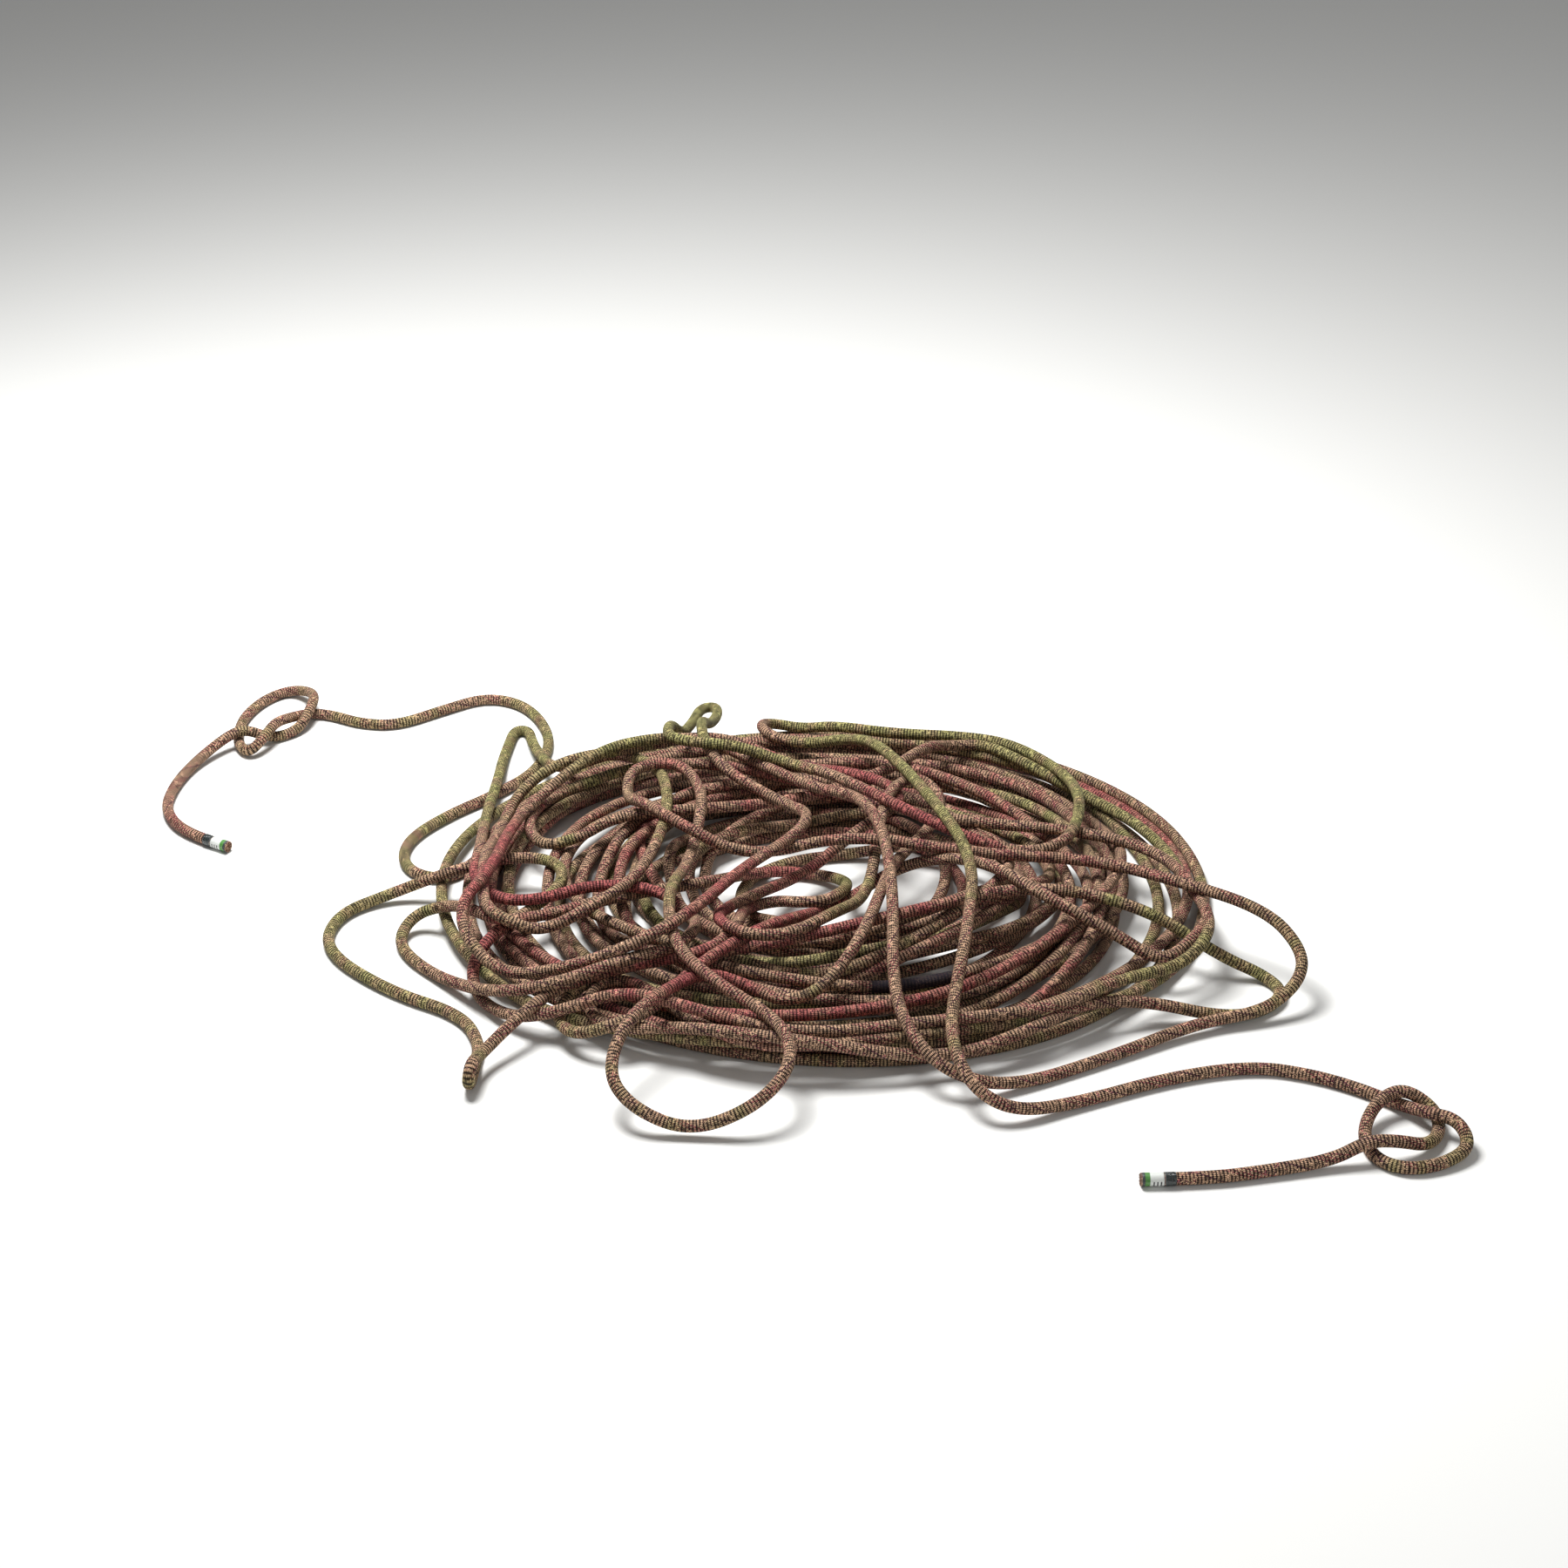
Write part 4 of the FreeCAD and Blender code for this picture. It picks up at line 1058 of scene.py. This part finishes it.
def label_material():
    """Printed film with plain bands: green at the cut end, then white with three short bars."""
    material, nodes, surface = new_material("end_label_print")
    along = nodes.add("ShaderNodeAttribute", attribute_name="along").outputs["Fac"]
    around = nodes.add("ShaderNodeAttribute", attribute_name="around").outputs["Vector"]
    parts = nodes.add("ShaderNodeSeparateXYZ", {"Vector": around})
    white = nodes.math("GREATER_THAN", along, LABEL_GREEN_END)
    colour = nodes.mix(white, LEAF, PAPER)
    past = nodes.math("SUBTRACT", along, LABEL_GREEN_END)
    row = nodes.math("PINGPONG", past, LABEL_BAR_STEP / 2)
    thin = nodes.math("LESS_THAN", row, LABEL_BAR_STEP / 5)
    sector = nodes.math("LESS_THAN", nodes.math("ABSOLUTE", nodes.math(
        "ADD", parts.outputs["Y"], 0.2)), 0.45)
    inside = nodes.math("MULTIPLY", nodes.math("GREATER_THAN", along, LABEL_BARS[0]),
                        nodes.math("LESS_THAN", along, LABEL_BARS[1]))
    bars = nodes.math("MULTIPLY", nodes.math("MULTIPLY", thin, sector), inside)
    colour = nodes.mix(bars, colour, INK)
    rim = nodes.math("ADD", nodes.math("LESS_THAN", along, LABEL_RIM),
                     nodes.math("GREATER_THAN", along, LABEL_DARK_FROM))
    colour = nodes.mix(nodes.math("MINIMUM", rim, 1.0), colour, RIM)
    nodes.feed(surface.inputs["Base Color"], colour)
    surface.inputs["Roughness"].default_value = 0.35
    wrinkle = nodes.add("ShaderNodeTexNoise", {"Scale": 900.0, "Detail": 2.0})
    bump = nodes.add("ShaderNodeBump", {"Height": wrinkle, "Strength": 0.25, "Distance": 0.0003})
    nodes.feed(surface.inputs["Normal"], bump)
    return material


def sleeve_material():
    """Clear shrink film, a little smoky where it is bare of the label."""
    material, nodes, surface = new_material("end_sleeve_film")
    along = nodes.add("ShaderNodeAttribute", attribute_name="along").outputs["Fac"]
    bare = nodes.smooth(along, LABEL_DARK_FROM, LABEL_DARK_FROM + 0.002)
    nodes.feed(surface.inputs["Alpha"], nodes.math("MULTIPLY_ADD", bare, 0.6, 0.06))
    nodes.feed(surface.inputs["Base Color"], nodes.mix(bare, FILM, SMOKE))
    surface.inputs["Roughness"].default_value = 0.16
    surface.inputs["Coat Weight"].default_value = 0.8
    surface.inputs["Coat Roughness"].default_value = 0.08
    ripple = nodes.add("ShaderNodeTexNoise", {"Scale": 420.0, "Detail": 1.0})
    bump = nodes.add("ShaderNodeBump", {"Height": ripple, "Strength": 0.35, "Distance": 0.0004})
    nodes.feed(surface.inputs["Normal"], bump)
    return material


def strand_material(fibres):
    """Core yarn ends, browned by the hot knife."""
    material, nodes, surface = new_material("core_yarn")
    along = nodes.add("ShaderNodeAttribute", attribute_name="along").outputs["Fac"]
    around = nodes.add("ShaderNodeAttribute", attribute_name="around").outputs["Vector"]
    parts = nodes.add("ShaderNodeSeparateXYZ", {"Vector": around})
    filament = nodes.add("ShaderNodeGroup", node_tree=fibres)
    nodes.feed(filament.inputs["Along"], nodes.math("MULTIPLY", along, 400.0))
    nodes.feed(filament.inputs["Across"], nodes.math("MULTIPLY", parts.outputs["X"], 1.5))
    nodes.feed(filament.inputs["Strength"], 0.9)
    burnt = nodes.add("ShaderNodeTexNoise", {"Scale": 700.0, "Detail": 2.0}).outputs[0]
    colour = nodes.mix(nodes.smooth(burnt, 0.4, 0.62), AMBER, CHAR)
    colour = nodes.mix(1.0, colour, filament.outputs[0], "MULTIPLY")
    nodes.feed(surface.inputs["Base Color"], colour)
    surface.inputs["Roughness"].default_value = 0.5
    bump = nodes.add("ShaderNodeBump", {"Height": burnt, "Strength": 0.6, "Distance": 0.0004})
    nodes.feed(surface.inputs["Normal"], bump)
    return material


class ROPE_OT_ends(bpy.types.Operator):
    """Wrap a printed label and a clear sleeve round each cut end, with the core's strands"""

    bl_idname = "rope.ends"
    bl_label = "Rope ends"

    def execute(self, context):
        rope, ends = context.scene.rope, context.scene.rope_ends
        fibres = bpy.data.node_groups["Fibre lines"]
        label, sleeve = label_material(), sleeve_material()
        strand = strand_material(fibres)
        for side in ("left", "right"):
            line = centre_line(bpy.data.objects["rope_route"])
            if side == "right":
                line.reverse()
            pieces = [("label", self.label(side, line, rope, ends, label), "label"),
                      ("sleeve", self.sleeve(side, line, rope, ends, sleeve), "sleeve"),
                      ("core_strands", self.strands(side, line, strand), "core_strands")]
            for part, obj, slot in pieces:
                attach(obj, "root")
                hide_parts("%s_end_%s" % (side, part))
        return {"FINISHED"}

    def label(self, side, line, rope, ends, material):
        inner = rope.diameter / 2
        outer = inner + ends.label_wall
        places = spans(ends.label_setback, ends.label_setback + ends.label_length, 0.001)
        profile = [(s, outer) for s in places] + [(s, inner) for s in reversed(places)]
        return swept_profile(side + "_label", line, profile, 40, material)

    def sleeve(self, side, line, rope, ends, material):
        """The film hugs the label, steps down onto the rope past it and rolls at its rims."""
        label_end = ends.label_setback + ends.label_length
        places = spans(-0.0004, ends.sleeve_length, 0.001)

        def bore(s):
            step = min(1, max(0, (label_end + 0.002 - s) / 0.002))
            return rope.diameter / 2 + ends.sleeve_clearance + ends.label_wall * step

        outer = [(s, bore(s) + ends.sleeve_wall) for s in places]
        outer[0] = (outer[0][0], outer[0][1] - ends.sleeve_wall / 2)
        outer[-1] = (outer[-1][0], outer[-1][1] - ends.sleeve_wall / 2)
        profile = outer + [(s, bore(s)) for s in reversed(places)]
        return swept_profile(side + "_sleeve", line, profile, 40, material)

    def strands(self, side, line, material):
        """Domed yarn ends that stand a little proud of the cut, in three rings."""
        rng = random.Random(side)
        parts = []
        for count, ring in STRAND_RINGS:
            for k in range(count):
                angle = 2 * math.pi * (k + 0.5 * rng.random()) / count
                parts.append(self.strand(side, line, ring, angle, rng, len(parts), material))
        whole = parts[0]
        with bpy.context.temp_override(active_object=whole, selected_editable_objects=parts):
            bpy.ops.object.join()
        whole.name = side + "_core_strands"
        return whole

    def strand(self, side, line, ring, angle, rng, index, material):
        start, direction = walk(line, 0)
        across = direction.cross(Vector((0, 0, 1))).normalized()
        up = across.cross(direction)
        offset = (across * math.cos(angle) + up * math.sin(angle)) * ring
        proud = STRAND_PROUD * rng.uniform(0.4, 1)
        own = [start + offset - direction * proud, start + offset + direction * STRAND_DEPTH]
        radius = STRAND_RADIUS * rng.uniform(0.85, 1.05)
        dome = [(0.0002 * k, radius * math.sqrt(1 - (1 - k / 4) ** 2)) for k in range(5)]
        dome[0] = (0.0, radius * 0.12)
        back = (STRAND_DEPTH, radius * 0.12)
        return swept_profile("%s_strand_%d" % (side, index), own,
                             dome + [(STRAND_DEPTH - 0.0002, radius), back], 12, material)


class ROPE_OT_stage(bpy.types.Operator):
    """Set the camera, the pale floor and the soft lights"""

    bl_idname = "rope.stage"
    bl_label = "Stage"

    def execute(self, context):
        stage = context.scene.rope_stage
        camera = bpy.data.cameras.new("camera")
        camera.lens = stage.lens
        camera.clip_start = 0.05
        view = link(bpy.data.objects.new("camera", camera))
        view.location = stage.camera_place
        view.rotation_euler = (math.pi / 2 - stage.camera_pitch, 0, 0)
        context.scene.camera = view
        self.floor()
        self.area("key_light", *KEY_LIGHT, stage.key_power)
        self.area("fill_light", *FILL_LIGHT, stage.fill_power)
        world = bpy.data.worlds.new("surround")
        world.use_nodes = True
        background = world.node_tree.nodes["Background"]
        background.inputs["Color"].default_value = (1, 1, 1, 1)
        background.inputs["Strength"].default_value = stage.surround
        context.scene.world = world
        context.scene.view_settings.view_transform = "Standard"
        return {"FINISHED"}

    def floor(self):
        mesh = bpy.data.meshes.new("floor")
        corners = [(x * FLOOR_HALF, y * FLOOR_HALF, 0)
                   for x, y in ((-1, -1), (1, -1), (1, 1), (-1, 1))]
        mesh.from_pydata(corners, [], [(0, 1, 2, 3)])
        material, _, surface = new_material("pale_floor")
        surface.inputs["Base Color"].default_value = FLOOR_COLOUR
        surface.inputs["Roughness"].default_value = 0.9
        mesh.materials.append(material)
        link(bpy.data.objects.new("floor", mesh))

    def area(self, name, place, size, power):
        light = bpy.data.lights.new(name, "AREA")
        light.shape = "DISK"
        light.size = size
        light.energy = power
        obj = link(bpy.data.objects.new(name, light))
        obj.location = place
        towards = LIGHTS_AIM - Vector(place)
        obj.rotation_euler = towards.to_track_quat("-Z", "Y").to_euler()


class ROPE_PT_panel(bpy.types.Panel):
    """Settings and steps for building the rope"""

    bl_idname = "ROPE_PT_panel"
    bl_label = "Climbing rope"
    bl_space_type = "VIEW_3D"
    bl_region_type = "UI"
    bl_category = "Rope"

    def draw(self, context):
        for group, step in (("rope_stage", "rope.stage"), ("rope", "rope.rope"),
                            ("rope_ends", "rope.ends")):
            settings = getattr(context.scene, group)
            column = self.layout.column()
            for name in type(settings).__annotations__:
                column.prop(settings, name)
            column.operator(step)


CLASSES = (RopeSettings, EndSettings, StageSettings, ROPE_OT_stage, ROPE_OT_rope,
           ROPE_OT_ends, ROPE_PT_panel)
SETTINGS = {"rope": RopeSettings, "rope_ends": EndSettings, "rope_stage": StageSettings}


def register():
    for cls in CLASSES:
        bpy.utils.register_class(cls)
    for name, cls in SETTINGS.items():
        setattr(bpy.types.Scene, name, bpy.props.PointerProperty(type=cls))


def unregister():
    for name in SETTINGS:
        delattr(bpy.types.Scene, name)
    for cls in reversed(CLASSES):
        bpy.utils.unregister_class(cls)


def main():
    register()
    bpy.ops.rope.stage()
    bpy.ops.rope.rope()
    bpy.ops.rope.ends()


if __name__ == "__main__":
    main()
